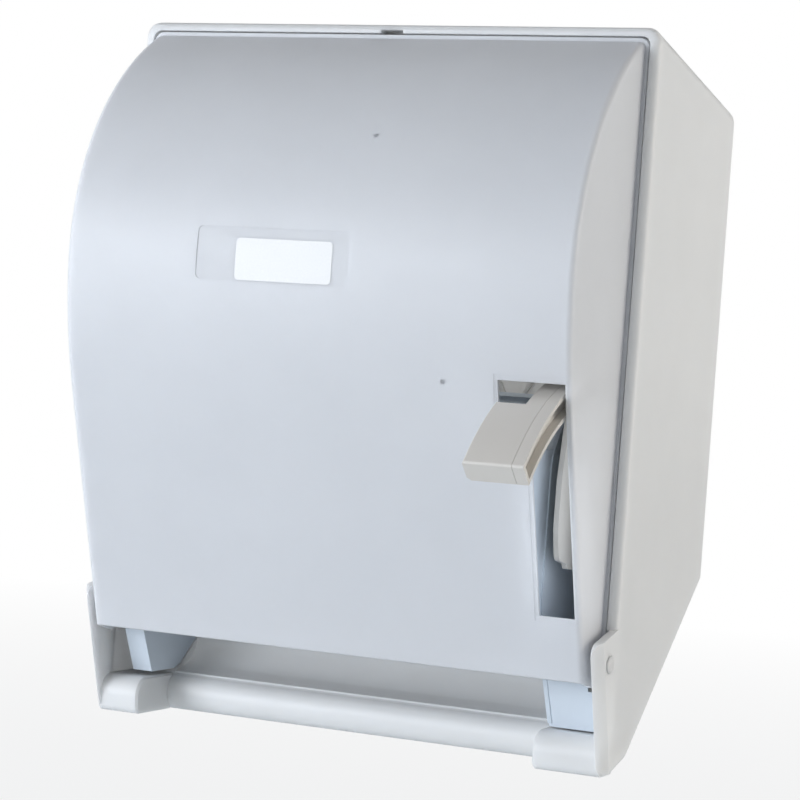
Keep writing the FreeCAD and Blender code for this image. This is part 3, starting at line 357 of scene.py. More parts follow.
def plastic_screw(mesh, seat, outward, head_r, head_h, shank_r, length):
    """Adds a hexagon screw with a washer rim and a driver cross; its thread ends in a blunt point."""
    root_r = 0.78 * shank_r
    point_length = 0.0012
    first_crest = 0.0018
    cross_floor = head_h - 0.0013
    section = [(-length, 0.0), (-length, 0.55 * shank_r), (-length + point_length, root_r)]
    crest = -length + first_crest
    while crest < -THREAD_PITCH:
        section += [(crest - THREAD_HALF_WIDTH, root_r), (crest, shank_r),
                    (crest + THREAD_HALF_WIDTH, root_r)]
        crest += THREAD_PITCH
    top = hexagon(1.72 * head_r)
    section += [
        (0.0, root_r), (0.0, head_r), (0.0005, head_r), (0.0009, 0.93 * head_r), (0.0009, top),
        (head_h - 0.0004, top), (head_h, 0.70 * head_r), (head_h, cross(0.46 * head_r, 0.12 * head_r)),
        (cross_floor, cross(0.28 * head_r, 0.07 * head_r)), (cross_floor, 0.0)]
    turned(mesh, seat, outward, section)


# Head radius, head height and thread radius.
LARGE_SCREW = (0.0040, 0.0026, 0.00178)
frame_screw_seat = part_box("frame_screws")[0].y + LARGE_SCREW[1]
mesh = bmesh.new()
for x in (-0.1260, 0.1148):
    for z in (-0.052, -0.118):
        plastic_screw(mesh, (x, frame_screw_seat, z), (0, -1, 0), *LARGE_SCREW, 0.0075)
screws = place_piece(mesh, "side_frame_screws", zinc_steel, "dispenser")
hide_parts("frame_screws")

# ----------------------------------------------- guide plate, front rail and blade
# A moulded sheet turns the paper down behind the feed roller, and a moulded rail
# across the front carries the saw-toothed stainless strip that cuts it.
dress(parts["rear_guide_plate"], inner_abs_painted_cool_light, 0.0003)
dress(parts["front_rail"], inner_abs_painted_cool_light, 0.0004)
stainless = plated_steel("stainless", (0.63, 0.63, 0.64), 0.26)
dress(parts["tear_blade"], stainless)
SMALL_SCREW = (0.0036, 0.0022, 0.00158)
blade_screw_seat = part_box("blade_screws")[0].y + SMALL_SCREW[1]
mesh = bmesh.new()
for x in (-0.100, -0.005, 0.090):
    plastic_screw(mesh, (x, blade_screw_seat, -0.172), (0, -1, 0), *SMALL_SCREW, 0.0060)
screws = place_piece(mesh, "tear_blade_screws", zinc_steel, "dispenser")
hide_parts("blade_screws")

# --------------------------------------------------------------------- feed roller
# A steel shaft with a moulded drum and two black rubber sleeves. The black hand
# wheel on its left end feeds paper while loading.


def moulded_rubber(name, colour):
    """Matt rubber, ground on the outside."""
    material, tree, shader, place = blank_material(name, 0.78)
    clouds = noise(tree, place, 90.0, 4.0)
    tree.links.new(ramp(tree, clouds, [(0.3, tinted(colour, 0.8)), (0.7, tinted(colour, 1.3))]),
                   shader.inputs["Base Color"])
    bump(tree, shader, noise(tree, place, 1400.0, 4.0), 0.5, 0.0002)
    return material


rubber = moulded_rubber("rubber", (0.030, 0.030, 0.033))
dress(parts["feed_shaft"], zinc_steel)
FEED_AT = middle("feed_shaft")
FEED_R = 0.022
DRUM_LEFT = -0.101
DRUM_R = 0.017
DRUM_EDGE_R = DRUM_R - 0.0006
SHAFT_R = 0.004
SLEEVE_SPANS = ((-0.099, -0.007), (0.007, 0.099))


def roller_sleeve(mesh, centre, x0, x1, bore_r, outer_r, groove):
    """Adds a rubber sleeve with rounded ends and shallow grooves that keep its grip when wet."""
    length = x1 - x0
    edge, edge_middle = 0.0012, 0.0004
    groove_mouth, groove_floor = 0.0006, 0.0003
    section = [(0.0, bore_r), (0.0, outer_r - edge), (edge_middle, outer_r - edge_middle), (edge, outer_r)]
    grooves = int(length / 0.0046) - 1
    pitch = length / (grooves + 1)
    for index in range(grooves):
        at = pitch * (index + 1)
        section += [(at - groove_mouth, outer_r), (at - groove_floor, outer_r - groove),
                    (at + groove_floor, outer_r - groove), (at + groove_mouth, outer_r)]
    section += [(length - edge, outer_r), (length - edge_middle, outer_r - edge_middle),
                (length, outer_r - edge), (length, bore_r)]
    turned(mesh, (x0, centre.y, centre.z), (1, 0, 0), section, 64)


mesh = bmesh.new()
# A barrel under each sleeve, with a shallow neck between them.
turned(mesh, (DRUM_LEFT, FEED_AT.y, FEED_AT.z), (1, 0, 0), [
    (0.0, SHAFT_R), (0.0, DRUM_EDGE_R), (0.0006, DRUM_R), (0.0944, DRUM_R), (0.0950, DRUM_EDGE_R),
    (0.1070, DRUM_EDGE_R), (0.1076, DRUM_R), (0.2014, DRUM_R), (0.2020, DRUM_EDGE_R), (0.2020, SHAFT_R)],
    64)
drum = place_piece(mesh, "turned_drum", inner_abs_painted_cool_light, "feed_roller")
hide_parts("feed_drum")
mesh = bmesh.new()
for x0, x1 in SLEEVE_SPANS:
    roller_sleeve(mesh, FEED_AT, x0, x1, DRUM_R, FEED_R, 0.0004)
sleeves = place_piece(mesh, "grooved_sleeves", rubber, "feed_roller")
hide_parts("feed_sleeves")
ACETAL_WHITE = (0.74, 0.74, 0.69)
acetal = moulded_abs("acetal", ACETAL_WHITE, 0.36, 0.1)
dress(parts["backstop_clutch"], acetal, 0.0003)


def scalloped(radius, scallops, depth):
    """Radius at an angle of a rim with shallow finger scallops."""
    def reach(angle):
        return radius - depth * (0.5 + 0.5 * math.cos(scallops * angle)) ** 3
    return reach


WHEEL_R = 0.0223
WHEEL_EDGE_R = 0.0215
SCALLOPS = 12
SCALLOP_DEPTH = 0.0022
wheel_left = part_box("hand_wheel")[0].x
grip = scalloped(WHEEL_R, SCALLOPS, SCALLOP_DEPTH)
grip_edge = scalloped(WHEEL_EDGE_R, SCALLOPS, SCALLOP_DEPTH)
mesh = bmesh.new()
# From the bore over the recessed web to the scalloped rim, and back over the hub's far end.
turned(mesh, (wheel_left, FEED_AT.y, FEED_AT.z), (1, 0, 0), [
    (0.0, SHAFT_R), (0.0, 0.0074), (0.0006, 0.0080), (0.0060, 0.0080), (0.0066, 0.0086), (0.0066, 0.0168),
    (0.0060, 0.0174), (0.0006, 0.0176), (0.0, 0.0182), (0.0, grip_edge), (0.0008, grip), (0.0072, grip),
    (0.0080, grip_edge), (0.0080, 0.0086), (0.0086, 0.0080), (0.0099, 0.0080), (0.0105, 0.0074),
    (0.0105, SHAFT_R)], 144)
wheel = place_piece(mesh, "scalloped_hand_wheel", hub_plastic, "feed_roller")
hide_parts("hand_wheel")

# ----------------------------------------------------------------- pressure cradle
# A moulded cradle swings on a steel rod and is pushed by two coil springs, so that
# its rubber rollers press the paper against the feed roller.
dress(parts["cradle_rod"], zinc_steel)
dress(parts["press_cradle"], inner_abs_painted_cool_light, 0.0003)
dress(parts["press_axle"], zinc_steel)
PRESS_AT = middle("press_axle")
PRESS_R = 0.010
AXLE_R = 0.0025
mesh = bmesh.new()
for x0, x1 in SLEEVE_SPANS:
    roller_sleeve(mesh, PRESS_AT, x0, x1, AXLE_R, PRESS_R, 0.0003)
rollers = place_piece(mesh, "grooved_press_rollers", rubber, "pressure_roller")
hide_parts("press_rollers")


def wire_along(mesh, path, wire_r, sides=8):
    """Adds a round wire along a path, square to it at every point and closed at its ends."""
    rings = []
    across = None
    for index, point in enumerate(path):
        ahead = (path[min(index + 1, len(path) - 1)] - path[max(index - 1, 0)]).normalized()
        across = ahead.orthogonal() if across is None else across - ahead * across.dot(ahead)
        across.normalize()
        up = ahead.cross(across)
        ring = []
        for step in range(sides):
            angle = 2 * math.pi * step / sides
            ring.append(mesh.verts.new(
                point + across * (wire_r * math.cos(angle)) + up * (wire_r * math.sin(angle))))
        rings.append(ring)
    for low, high in zip(rings[:-1], rings[1:]):
        join_rings(mesh, low, high)
    for end in (rings[0], rings[-1]):
        mesh.faces.new(end)


def coil_path(foot, axis, across, radius, length, turns, closed, wire_r):
    """Middle line of a coil spring whose closed end turns lie wire on wire."""
    up = axis.cross(across)
    per_turn = 28
    open_pitch = (length - 2 * closed * 2 * wire_r) / (turns - 2 * closed)
    path = []
    for step in range(int(per_turn * turns) + 1):
        turn = step / per_turn
        climb = 2 * wire_r * min(turn, closed) + open_pitch * min(max(turn - closed, 0.0), turns - 2 * closed)
        climb += 2 * wire_r * max(turn - turns + closed, 0.0)
        angle = 2 * math.pi * turn
        path.append(foot + axis * climb + (across * math.cos(angle) + up * math.sin(angle)) * radius)
    return path


spring_low, spring_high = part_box("press_springs")
SPRING_WIRE_R = 0.0006
SPRING_R = 0.0046
SPRING_TURNS = 8.0
for side, x in (("left", -0.060), ("right", 0.060)):
    foot = Vector((x, spring_low.y + SPRING_WIRE_R, middle("press_springs").z))
    mesh = bmesh.new()
    coil = coil_path(foot, Vector((0, 1, 0)), Vector((1, 0, 0)), SPRING_R,
                     spring_high.y - spring_low.y - 2 * SPRING_WIRE_R, SPRING_TURNS, 1.0, SPRING_WIRE_R)
    wire_along(mesh, coil, SPRING_WIRE_R)
    spring = place_piece(mesh, side + "_press_spring", zinc_steel, "dispenser")
    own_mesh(spring)
    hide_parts("press_springs")

# ---------------------------------------------------------------------- gear train
# Natural acetal gears: a sector on the lever, an idler on a fixed steel stud and
# the pinion on the feed shaft, behind a moulded cover plate.
for gear in ("sector_gear", "idler_gear", "drive_pinion"):
    dress(parts[gear], acetal, 0.00025)
dress(parts["idler_stud"], zinc_steel)
dress(parts["gear_cover"], inner_abs_painted_cool_light, 0.0003)
cover_screw_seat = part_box("gear_cover_screws")[1].x - SMALL_SCREW[1]
mesh = bmesh.new()
for y, z in ((-0.060, -0.047), (-0.137, -0.174), (-0.0145, -0.128)):
    plastic_screw(mesh, (cover_screw_seat, y, z), (1, 0, 0), *SMALL_SCREW, 0.0090)
screws = place_piece(mesh, "gear_plate_screws", zinc_steel, "dispenser")
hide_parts("gear_cover_screws")

# --------------------------------------------------------------------------- lever
# Two mouldings in warm grey ABS, joined along a fine seam: the hand pad with its
# web, and the outer channel. It turns on a steel pin against a torsion spring.
LEVER_GREY = (0.735, 0.70, 0.65)
lever_abs = moulded_abs("lever_abs", LEVER_GREY, 0.33, 0.16)
dress(parts["lever_paddle"], lever_abs, 0.0009)
dress(parts["lever_arm"], lever_abs, 0.0005)
dress(parts["lever_pivot_pin"], zinc_steel)

PIVOT_AT = middle("lever_pivot_pin")
RETURN_WIRE_R = 0.0007
RETURN_COIL_R = 0.0082
RETURN_STEPS = 112
coil_low, coil_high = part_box("lever_return_spring")
first_x = coil_low.x + RETURN_WIRE_R
last_x = coil_high.x - RETURN_WIRE_R
coil_top = PIVOT_AT.z + RETURN_COIL_R
# A straight leg towards the wall, four turns round the pivot, and a leg towards the cover
# whose end is bent outwards.
leg = [Vector((first_x, PIVOT_AT.y + reach, coil_top)) for reach in (0.031, 0.024, 0.012)]
body = []
for step in range(RETURN_STEPS + 1):
    angle = math.pi / 2 + 8 * math.pi * step / RETURN_STEPS
    body.append(Vector((first_x + (last_x - first_x) * step / RETURN_STEPS,
                        PIVOT_AT.y + RETURN_COIL_R * math.cos(angle),
                        PIVOT_AT.z + RETURN_COIL_R * math.sin(angle))))
hook = [Vector((last_x, PIVOT_AT.y - reach, coil_top)) for reach in (0.006, 0.014, 0.0163)]
hook += [Vector((last_x + 0.0009, PIVOT_AT.y - 0.0172, coil_top)),
         Vector((last_x + 0.0030, PIVOT_AT.y - 0.0174, coil_top))]
mesh = bmesh.new()
wire_along(mesh, leg + body + hook, RETURN_WIRE_R)
bmesh.ops.recalc_face_normals(mesh, faces=mesh.faces)
data = bpy.data.meshes.new("lever_torsion_spring")
mesh.to_mesh(data)
mesh.free()
spring = bpy.data.objects.new("lever_torsion_spring", data)
bpy.context.scene.collection.objects.link(spring)
dress(spring, zinc_steel)
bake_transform(spring)
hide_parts("lever_return_spring")

# --------------------------------------------------------------------------- latch
# A moulded guide under the housing top holds a sliding acetal latch on a spring. A
# key in the slot of the rim pushes it down to free the cover.
dress(parts["latch_bracket"], inner_abs_painted_cool_light, 0.0003)
dress(parts["latch_slider"], acetal, 0.0003)
latch_low, latch_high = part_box("latch_spring")
LATCH_WIRE_R = 0.0005
LATCH_COIL_R = 0.0040
LATCH_TURNS = 5.0
foot = Vector((middle("latch_spring").x, middle("latch_spring").y, latch_low.z + LATCH_WIRE_R))
mesh = bmesh.new()
coil = coil_path(foot, Vector((0, 0, 1)), Vector((1, 0, 0)), LATCH_COIL_R,
                 latch_high.z - latch_low.z - 2 * LATCH_WIRE_R, LATCH_TURNS, 0.75, LATCH_WIRE_R)
wire_along(mesh, coil, LATCH_WIRE_R)
spring = place_piece(mesh, "latch_coil_spring", zinc_steel, "dispenser")
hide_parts("latch_spring")

# --------------------------------------------------------------------- front cover
# A thin curved shell in cool white ABS with a satin face, a shallow label recess
# and an L shaped opening with a bevelled edge for the lever.
COVER_HALF_WIDTH = 0.155
COVER_WALL = 0.0025
COVER_CORNER_R = 0.0036
COVER_INNER_CORNER_R = 0.0022
COVER_FOOT = (-0.1757, -0.1941)
COVER_LEAN = 19.0
# The side view's arcs from the foot up: one over the radius in metres, and the length in 0.1 mm.
COVER_ARCS = ((0.0, 1483), (1 / 0.275, 710), (1 / 0.147, 1111), (1 / 0.167, 650))
COVER_ARCS_END = 0.3954
COVER_EASE = 0.016
COVER_STRAIGHT_END = 0.1310
# A tight bend at the top turns the skin back towards the wall.
TOP_BEND_R = 0.015
TOP_BEND_TURN = 18.9
COVER_PIVOT = (middle("cover_hinge_pins").y, middle("cover_hinge_pins").z)
COVER_LOBE_R = 0.014
COVER_REAR_Y = -0.146
# Planes that lie clear of the cover, for the forms that trim it.
CLEAR_FRONT = -0.31
CLEAR_FOOT = -0.1785
CLEAR_TOP = 0.19
CLEAR_SIDE = 0.17


def curvature(along):
    """Bend of the cover's side view at a length from its foot, one over metres, eased between arcs."""
    samples = 9
    total = 0.0
    for index in range(samples):
        at = along + COVER_EASE * (2 * index / (samples - 1) - 1)
        reached = 0.0
        for bend, tenths in COVER_ARCS:
            reached += tenths / 10000
            if at <= reached:
                break
        total += bend
    return total / samples


def ahead(heading):
    """Unit step along the side view at a heading."""
    return Vector((math.cos(heading), math.sin(heading)))


def inward(heading):
    """Unit step from the skin towards the inside of the cover."""
    return Vector((math.sin(heading), -math.cos(heading)))


def cover_stations():
    """Points (y, z) along the cover's side view with the heading there, from foot to top.

    The line starts below the foot and ends behind the rear edge, so that the outline can trim it.
    """
    below_foot = 0.06
    past_top = 0.03
    step = 0.001
    gap = 0.00299
    top_steps = 6
    heading = math.radians(90.0 + COVER_LEAN)
    point = Vector(COVER_FOOT)
    stations = [(point - ahead(heading) * below_foot, heading),
                (point + ahead(heading) * COVER_STRAIGHT_END, heading)]
    point = stations[-1][0]
    along = COVER_STRAIGHT_END
    since = 0.0
    while along < COVER_ARCS_END:
        turn = curvature(along + step / 2) * step
        point = point + ahead(heading - turn / 2) * step
        heading -= turn
        along += step
        since += step
        if since > gap:
            stations.append((point, heading))
            since = 0.0
    for _ in range(top_steps):
        turn = math.radians(TOP_BEND_TURN / top_steps)
        point = point + ahead(heading - turn / 2) * (TOP_BEND_R * turn)
        heading -= turn
        stations.append((point, heading))
    stations.append((point + ahead(heading) * past_top, heading))
    return stations


COVER_STATIONS = cover_stations()


def cover_line(inset):
    """Side view, as (y, z), of the cover's skin moved inwards, closed by a corner behind."""
    line = [point + inward(heading) * inset for point, heading in COVER_STATIONS]
    line.append(Vector((line[-1].x, line[0].y)))
    return line


def form(mesh):
    """Puts a mesh in the scene as a closed form that others can cut."""
    bmesh.ops.recalc_face_normals(mesh, faces=mesh.faces)
    data = bpy.data.meshes.new("form")
    mesh.to_mesh(data)
    mesh.free()
    made = bpy.data.objects.new("form", data)
    bpy.context.scene.collection.objects.link(made)
    return made


def stacked(rings):
    """Closed form whose skin joins rings of the same count, with a flat face at each end."""
    mesh = bmesh.new()
    rings = [[mesh.verts.new(point) for point in ring] for ring in rings]
    for low, high in zip(rings[:-1], rings[1:]):
        join_rings(mesh, low, high)
    mesh.faces.new(rings[0])
    mesh.faces.new(rings[-1])
    return form(mesh)


def cover_block(inset, corner_r):
    """Everything behind the cover's skin moved inwards, with round corners between front and sides."""
    half = COVER_HALF_WIDTH - inset
    steps = 8
    rings = []
    for step in range(steps + 1):
        angle = math.pi / 2 * step / steps
        rings.append((half - corner_r * (1 - math.cos(angle)),
                      cover_line(inset + corner_r * (1 - math.sin(angle)))))
    left = [[Vector((-x, *point)) for point in line] for x, line in rings]
    right = [[Vector((x, *point)) for point in line] for x, line in reversed(rings)]
    return stacked(left + right)


def side_prism(points, x0, x1):
    """Prism between two X planes from its side view as (y, z)."""
    return stacked([[Vector((x, *point)) for point in points] for x in (x0, x1)])


def front_prism(points):
    """Prism through the front of the cover from its front view as (x, z)."""
    behind_face = -0.17
    return stacked([[Vector((x, y, z)) for x, z in points] for y in (CLEAR_FRONT, behind_face)])


def combined(base, operation, other):
    """Cuts a form by another, joins them or keeps what both share; the other is used up."""
    step = base.modifiers.new("step", "BOOLEAN")
    step.operation = operation
    step.solver = "EXACT"
    step.object = other
    bpy.context.view_layer.update()
    result = bpy.data.meshes.new_from_object(base.evaluated_get(bpy.context.evaluated_depsgraph_get()))
    base.modifiers.clear()
    base.data = result
    bpy.data.objects.remove(other)
    return base


def round_cornered(x0, x1, z0, z1, radius):
    """Corners of a rectangle with round corners, as (x, z)."""
    points = []
    for centre_x, centre_z, first in ((x1 - radius, z1 - radius, 0), (x0 + radius, z1 - radius, 90),
                                      (x0 + radius, z0 + radius, 180), (x1 - radius, z0 + radius, 270)):
        for turn in range(0, 91, 15):
            angle = math.radians(first + turn)
            points.append((centre_x + radius * math.cos(angle), centre_z + radius * math.sin(angle)))
    return points


def window_line(grow_x, grow_z):
    """Front view of the L shaped lever window, grown by a margin, as (x, z)."""
    left, step, right = 0.1128 - grow_x, 0.1305 - grow_x, 0.1515 + grow_x
    top, shelf, bottom = -0.0318 + grow_z, -0.0570 - grow_z, -0.1587 - grow_z
    return [(left, top), (right, top), (right, bottom), (step, bottom), (step, shelf), (left, shelf)]


def shallow_recess(points, depth):
    """Cutter for a flat recess that follows the cover's curve."""
    return combined(front_prism(points), "DIFFERENCE", cover_block(depth, COVER_CORNER_R - depth))


# The outline runs down the rear edge, round the lobe at the hinge and along the slanted foot.
LOBE_STEPS = 8
PAST_FOOT = 5
outline = [(COVER_REAR_Y, CLEAR_TOP)]
for step in range(LOBE_STEPS + 1):
    angle = -math.pi / 2 * step / LOBE_STEPS
    outline.append((COVER_PIVOT[0] + COVER_LOBE_R * math.cos(angle),
                    COVER_PIVOT[1] + COVER_LOBE_R * math.sin(angle)))
under = Vector(outline[-1])
outline += [tuple(under + (Vector(COVER_FOOT) - under) * PAST_FOOT), (CLEAR_FRONT, CLEAR_FOOT),
            (CLEAR_FRONT, CLEAR_TOP)]
trim = side_prism(outline, -CLEAR_SIDE, CLEAR_SIDE)
cover = combined(cover_block(0.0, COVER_CORNER_R), "INTERSECT", trim)

# A lip along the rear edge stands out from the skin and fills most of the gap to the rim.
LIP_DEPTH = 0.0046
LIP_STANDS = 0.0021
LIP_FOOT = -0.180
lip_front = COVER_REAR_Y - LIP_DEPTH
rear_lip = side_prism([(COVER_REAR_Y, LIP_FOOT), (COVER_REAR_Y, CLEAR_TOP), (lip_front, CLEAR_TOP),
                       (lip_front, LIP_FOOT)], -CLEAR_SIDE, CLEAR_SIDE)
rear_lip = combined(rear_lip, "INTERSECT", cover_block(-LIP_STANDS, COVER_CORNER_R + LIP_STANDS))
cover = combined(cover, "UNION", rear_lip)
cover = combined(cover, "DIFFERENCE", cover_block(COVER_WALL, COVER_INNER_CORNER_R))

# The recess for the label, the ledge round the lever window, and the window itself.
LABEL_RECESS = (-0.0705, 0.0243, 0.0130, 0.0430)
LABEL_RECESS_CORNER = 0.003
LABEL_DEPTH = 0.0005
LEDGE_WIDTH = (0.0022, 0.0032)
LEDGE_DEPTH = 0.0004
recess = shallow_recess(round_cornered(*LABEL_RECESS, LABEL_RECESS_CORNER), LABEL_DEPTH)
cover = combined(cover, "DIFFERENCE", recess)
cover = combined(cover, "DIFFERENCE", shallow_recess(window_line(*LEDGE_WIDTH), LEDGE_DEPTH))
cover = combined(cover, "DIFFERENCE", front_prism(window_line(0.0, 0.0)))

# Holes for the hinge pins, a little wider than the pins.
PIN_HOLE_X = 0.149
PIN_HOLE_DEPTH = 0.008
PIN_HOLE_R = PIN_R + 0.00005
for side in (-1, 1):
    mesh = bmesh.new()
    turned(mesh, (side * PIN_HOLE_X, *COVER_PIVOT), (side, 0, 0), [
        (0.0, 0.0), (0.0, PIN_HOLE_R), (PIN_HOLE_DEPTH, PIN_HOLE_R), (PIN_HOLE_DEPTH, 0.0)])
    cover = combined(cover, "DIFFERENCE", form(mesh))
cover.name = "curved_front_cover"
COVER_WHITE = (0.80, 0.812, 0.85)
cover_abs = moulded_abs("cover_abs", COVER_WHITE, 0.40, 0.2, 0.7, 0.012)
dress(cover, cover_abs, 0.0005)
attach(cover, "cover")
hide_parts("front_cover")
dress(parts["cover_catch"], inner_abs_painted_cool_light, 0.0003)
cover_tree = BVHTree.FromPolygons([vertex.co for vertex in cover.data.vertices],
                                  [face.vertices for face in cover.data.polygons])


def on_cover(x, z):
    """Point and outward direction of the cover's face, straight ahead of x and z."""
    start_y = -0.3
    point, normal, _, _ = cover_tree.ray_cast(Vector((x, start_y, z)), Vector((0, 1, 0)))
    return point, normal


# Two faint round marks stay where the plastic was fed into the cover's mould: rings that
# stand a twentieth of a millimetre off the face.
GATE_MARK_PLACES = ((0.0262, 0.0980), (0.0810, -0.0350))
GATE_MARK_R = 0.0014
GATE_MARK_SINKS = 0.0004
mesh = bmesh.new()
for x, z in GATE_MARK_PLACES:
    point, normal = on_cover(x, z)
    turned(mesh, point - normal * GATE_MARK_SINKS, normal, [
        (0.0, 0.0), (0.0, GATE_MARK_R), (0.00041, GATE_MARK_R), (0.00045, 0.00125), (0.00045, 0.0009),
        (0.00041, 0.0007), (0.00041, 0.0)], 32)
place_piece(mesh, "cover_gate_marks", cover_abs, "cover")

# ---------------------------------------------------------------------- blank label
# A blank white paper sticker with round corners, pressed into the recess of the
# cover. It follows the cover's curve and stands a paper's thickness off it.
LABEL_LEFT = -0.0460
LABEL_RIGHT = 0.0135
LABEL_FOOT = 0.0134
LABEL_TOP = 0.0370
LABEL_CORNER = 0.0026
LABEL_STANDS = 0.00018
LABEL_SINKS = 0.0001


def label_paper(name):
    """Coated paper: nearly white, with a faint mottle and a soft sheen."""
    material, tree, shader, place = blank_material(name, 0.45)
    fibres = noise(tree, place, 900.0, 4.0)
    tree.links.new(ramp(tree, fibres, [(0.3, (0.885, 0.885, 0.88)), (0.7, (0.915, 0.915, 0.91))]),
                   shader.inputs["Base Color"])
    bump(tree, shader, fibres, 0.15, 0.00003)
    return material


def label_rows():
    """Heights of the label's rows and how far the round corners draw in its sides there."""
    corner_steps = 8
    side_steps = 12
    foot = []
    for step in range(corner_steps + 1):
        angle = math.pi / 2 * step / corner_steps
        foot.append((LABEL_CORNER * (1 - math.cos(angle)), LABEL_CORNER * (1 - math.sin(angle))))
    height = LABEL_TOP - LABEL_FOOT
    straight = [(LABEL_CORNER + (height - 2 * LABEL_CORNER) * step / side_steps, 0.0)
                for step in range(1, side_steps)]
    top = [(height - rise, drawn) for rise, drawn in reversed(foot)]
    return foot + straight + top


mesh = bmesh.new()
fronts = []
backs = []
for rise, drawn in label_rows():
    z = LABEL_FOOT + rise
    for sheet, stands in ((fronts, LABEL_STANDS), (backs, -LABEL_SINKS)):
        sheet.append([mesh.verts.new(Vector((x, on_cover(x, z)[0].y - stands, z)))
                      for x in (LABEL_LEFT + drawn, LABEL_RIGHT - drawn)])
rings = [[front[0], front[1], back[1], back[0]] for front, back in zip(fronts, backs)]
for low, high in zip(rings[:-1], rings[1:]):
    join_rings(mesh, low, high)
for end in (rings[0], rings[-1]):
    mesh.faces.new(end)
place_piece(mesh, "blank_label", label_paper("label_paper"), "cover")

# -------------------------------------------------------------------------- studio
# Plain pale floor, even soft light from the front left and the right, a pale room
# around them, and the camera. None of it belongs to the dispenser.
FLOOR_Z = -0.38
FLOOR_REACH = 40.0
# The floor's soft shading shows near the dispenser and fades to white between these distances.
FADE_FROM = 0.6
FADE_TO = 2.4


def stage_sheet():
    """Floor well past the view, white to the camera."""
    mesh = bpy.data.meshes.new("floor")
    corners = ((-1, -1), (1, -1), (1, 1), (-1, 1))
    mesh.from_pydata([(x * FLOOR_REACH, y * FLOOR_REACH, FLOOR_Z) for x, y in corners], [], [(0, 1, 2, 3)])
    floor = bpy.data.objects.new("floor", mesh)
    bpy.context.scene.collection.objects.link(floor)
    material, tree, shader, place = blank_material("floor_white", 0.6)
    clouds = noise(tree, place, 3.0)
    tree.links.new(ramp(tree, clouds, [(0.3, (0.86, 0.91, 0.95)), (0.7, (0.88, 0.93, 0.97))]),
                   shader.inputs["Base Color"])
    glow = tree.nodes.new("ShaderNodeEmission")
    seen_direct = tree.nodes.new("ShaderNodeLightPath").outputs["Is Camera Ray"]
    distance = tree.nodes.new("ShaderNodeVectorMath")
    distance.operation = "LENGTH"
    tree.links.new(place, distance.inputs[0])
    fade = tree.nodes.new("ShaderNodeMapRange")
    fade.inputs["From Min"].default_value = FADE_FROM
    fade.inputs["From Max"].default_value = FADE_TO
    fade.inputs["To Min"].default_value = 0.8
    fade.inputs["To Max"].default_value = 1.0
    tree.links.new(distance.outputs["Value"], fade.inputs["Value"])
    share = tree.nodes.new("ShaderNodeMath")
    share.operation = "MULTIPLY"
    tree.links.new(fade.outputs["Result"], share.inputs[1])
    tree.links.new(seen_direct, share.inputs[0])
    blend = tree.nodes.new("ShaderNodeMixShader")
    tree.links.new(share.outputs[0], blend.inputs["Fac"])
    tree.links.new(shader.outputs[0], blend.inputs[1])
    tree.links.new(glow.outputs[0], blend.inputs[2])
    tree.links.new(blend.outputs[0], tree.nodes["Material Output"].inputs["Surface"])
    mesh.materials.append(material)


stage_sheet()

# The studio's walls: brighter low down, dimmer high up and towards the right front, and plain
# white where the camera sees them directly.
world = bpy.data.worlds.new("studio")
bpy.context.scene.world = world
world.use_nodes = True
sky = world.node_tree
backdrop = sky.nodes["Background"]
RIGHT_FRONT = (0.62, -0.78, 0.0)
direction = sky.nodes.new("ShaderNodeTexCoord").outputs["Generated"]
height = sky.nodes.new("ShaderNodeSeparateXYZ")
sky.links.new(direction, height.inputs["Vector"])
falloff = sky.nodes.new("ShaderNodeValToRGB")
falloff.color_ramp.elements[0].position = 0.0
falloff.color_ramp.elements[0].color = (0.95, 0.975, 1.0, 1.0)
falloff.color_ramp.elements[1].position = 0.9
falloff.color_ramp.elements[1].color = (0.13, 0.13, 0.13, 1.0)
sky.links.new(height.outputs["Z"], falloff.inputs["Fac"])
dim_side = sky.nodes.new("ShaderNodeVectorMath")
dim_side.operation = "DOT_PRODUCT"
dim_side.inputs[1].default_value = RIGHT_FRONT
sky.links.new(direction, dim_side.inputs[0])
dim = sky.nodes.new("ShaderNodeMapRange")
dim.inputs["From Min"].default_value = 0.35
dim.inputs["From Max"].default_value = 1.0
dim.inputs["To Min"].default_value = 0.92
dim.inputs["To Max"].default_value = 0.50
sky.links.new(dim_side.outputs["Value"], dim.inputs["Value"])
sky.links.new(dim.outputs["Result"], backdrop.inputs["Strength"])
sky.links.new(falloff.outputs["Color"], backdrop.inputs["Color"])
seen = sky.nodes.new("ShaderNodeBackground")
seen.inputs["Color"].default_value = (1.0, 1.0, 1.0, 1.0)
rays = sky.nodes.new("ShaderNodeLightPath")
choice = sky.nodes.new("ShaderNodeMixShader")
sky.links.new(rays.outputs["Is Camera Ray"], choice.inputs["Fac"])
sky.links.new(backdrop.outputs[0], choice.inputs[1])
sky.links.new(seen.outputs[0], choice.inputs[2])
sky.links.new(choice.outputs[0], sky.nodes["World Output"].inputs["Surface"])


WEAK_BELOW = 1.0


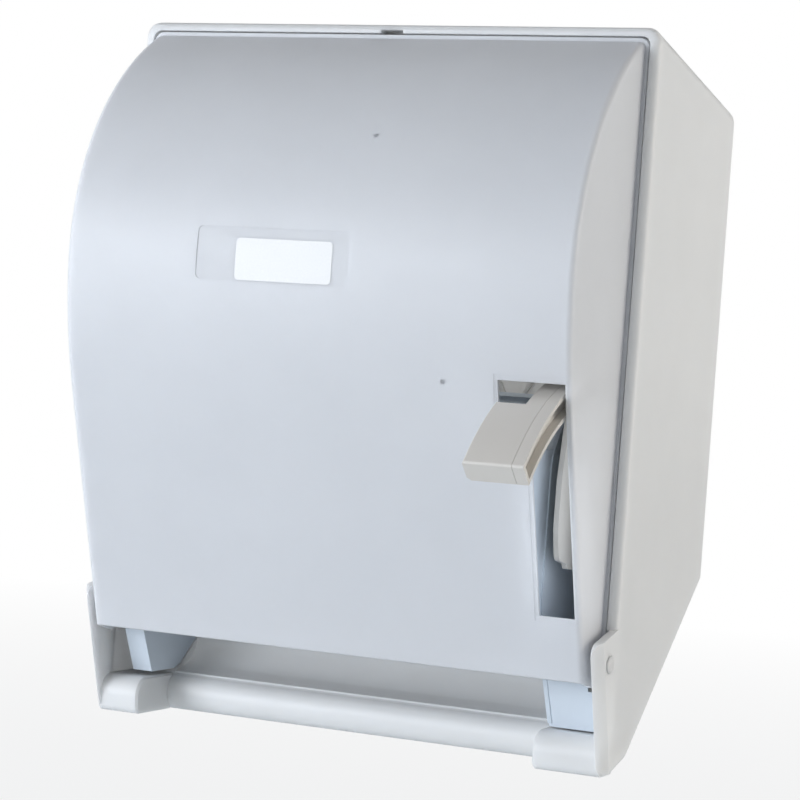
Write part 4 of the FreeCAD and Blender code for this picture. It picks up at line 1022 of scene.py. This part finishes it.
def soft_light(name, at, toward, width, height, watts, colour):
    """Adds a soft box; the weak ones are hidden from reflections as well as from the camera."""
    lamp = bpy.data.lights.new(name, "AREA")
    lamp.shape = "RECTANGLE"
    lamp.size = width
    lamp.size_y = height
    lamp.energy = watts
    lamp.color = colour
    light = bpy.data.objects.new(name, lamp)
    light.location = at
    light.rotation_euler = (Vector(toward) - Vector(at)).to_track_quat("-Z", "Y").to_euler()
    light.visible_camera = False
    light.visible_glossy = watts > WEAK_BELOW
    bpy.context.scene.collection.objects.link(light)


soft_light("front_left", (-1.1, -1.8, 0.15), (0.0, -0.15, -0.1), 1.0, 1.0, 24.5, (0.885, 0.93, 1.0))
soft_light("right", (1.8, 0.45, 0.15), (0.0, -0.1, 0.0), 1.2, 1.4, 14.5, (1.0, 0.935, 0.845))

# Thin white walls let some light through; these two weak lamps stand for it inside.
soft_light("wall_glow", (0.0, -0.135, 0.03), (0.0, 0.0, 0.0), 0.12, 0.12, 0.055, (1.0, 0.99, 0.95))
soft_light("gear_side_glow", (0.1515, -0.190, -0.10), (0.10, -0.190, -0.10), 0.05, 0.11, 0.011,
           (0.88, 0.94, 1.0))

# The camera stands to the right of the dispenser, level with it and tilted a little.
CAMERA_AT = Vector((0.6094, -1.4831, -0.0377))
TURN = 0.41522569
RISE = 0.00640321
TILT = 0.07364354
FOCAL_OVER_WIDTH = 2519.4727 / 800
backward = Vector((math.sin(TURN) * math.cos(RISE), -math.cos(TURN) * math.cos(RISE), math.sin(RISE)))
level_right = Vector((math.cos(TURN), math.sin(TURN), 0.0))
level_up = backward.cross(level_right)
right = math.cos(TILT) * level_right + math.sin(TILT) * level_up
up = math.cos(TILT) * level_up - math.sin(TILT) * level_right
view = bpy.data.cameras.new("camera")
view.sensor_width = 36.0
view.lens = FOCAL_OVER_WIDTH * view.sensor_width
view.clip_start = 0.05
camera = bpy.data.objects.new("camera", view)
camera.matrix_world = Matrix((
    (right.x, up.x, backward.x, CAMERA_AT.x),
    (right.y, up.y, backward.y, CAMERA_AT.y),
    (right.z, up.z, backward.z, CAMERA_AT.z),
    (0.0, 0.0, 0.0, 1.0)))
bpy.context.scene.collection.objects.link(camera)
bpy.context.scene.camera = camera
bpy.context.scene.view_settings.view_transform = "Standard"
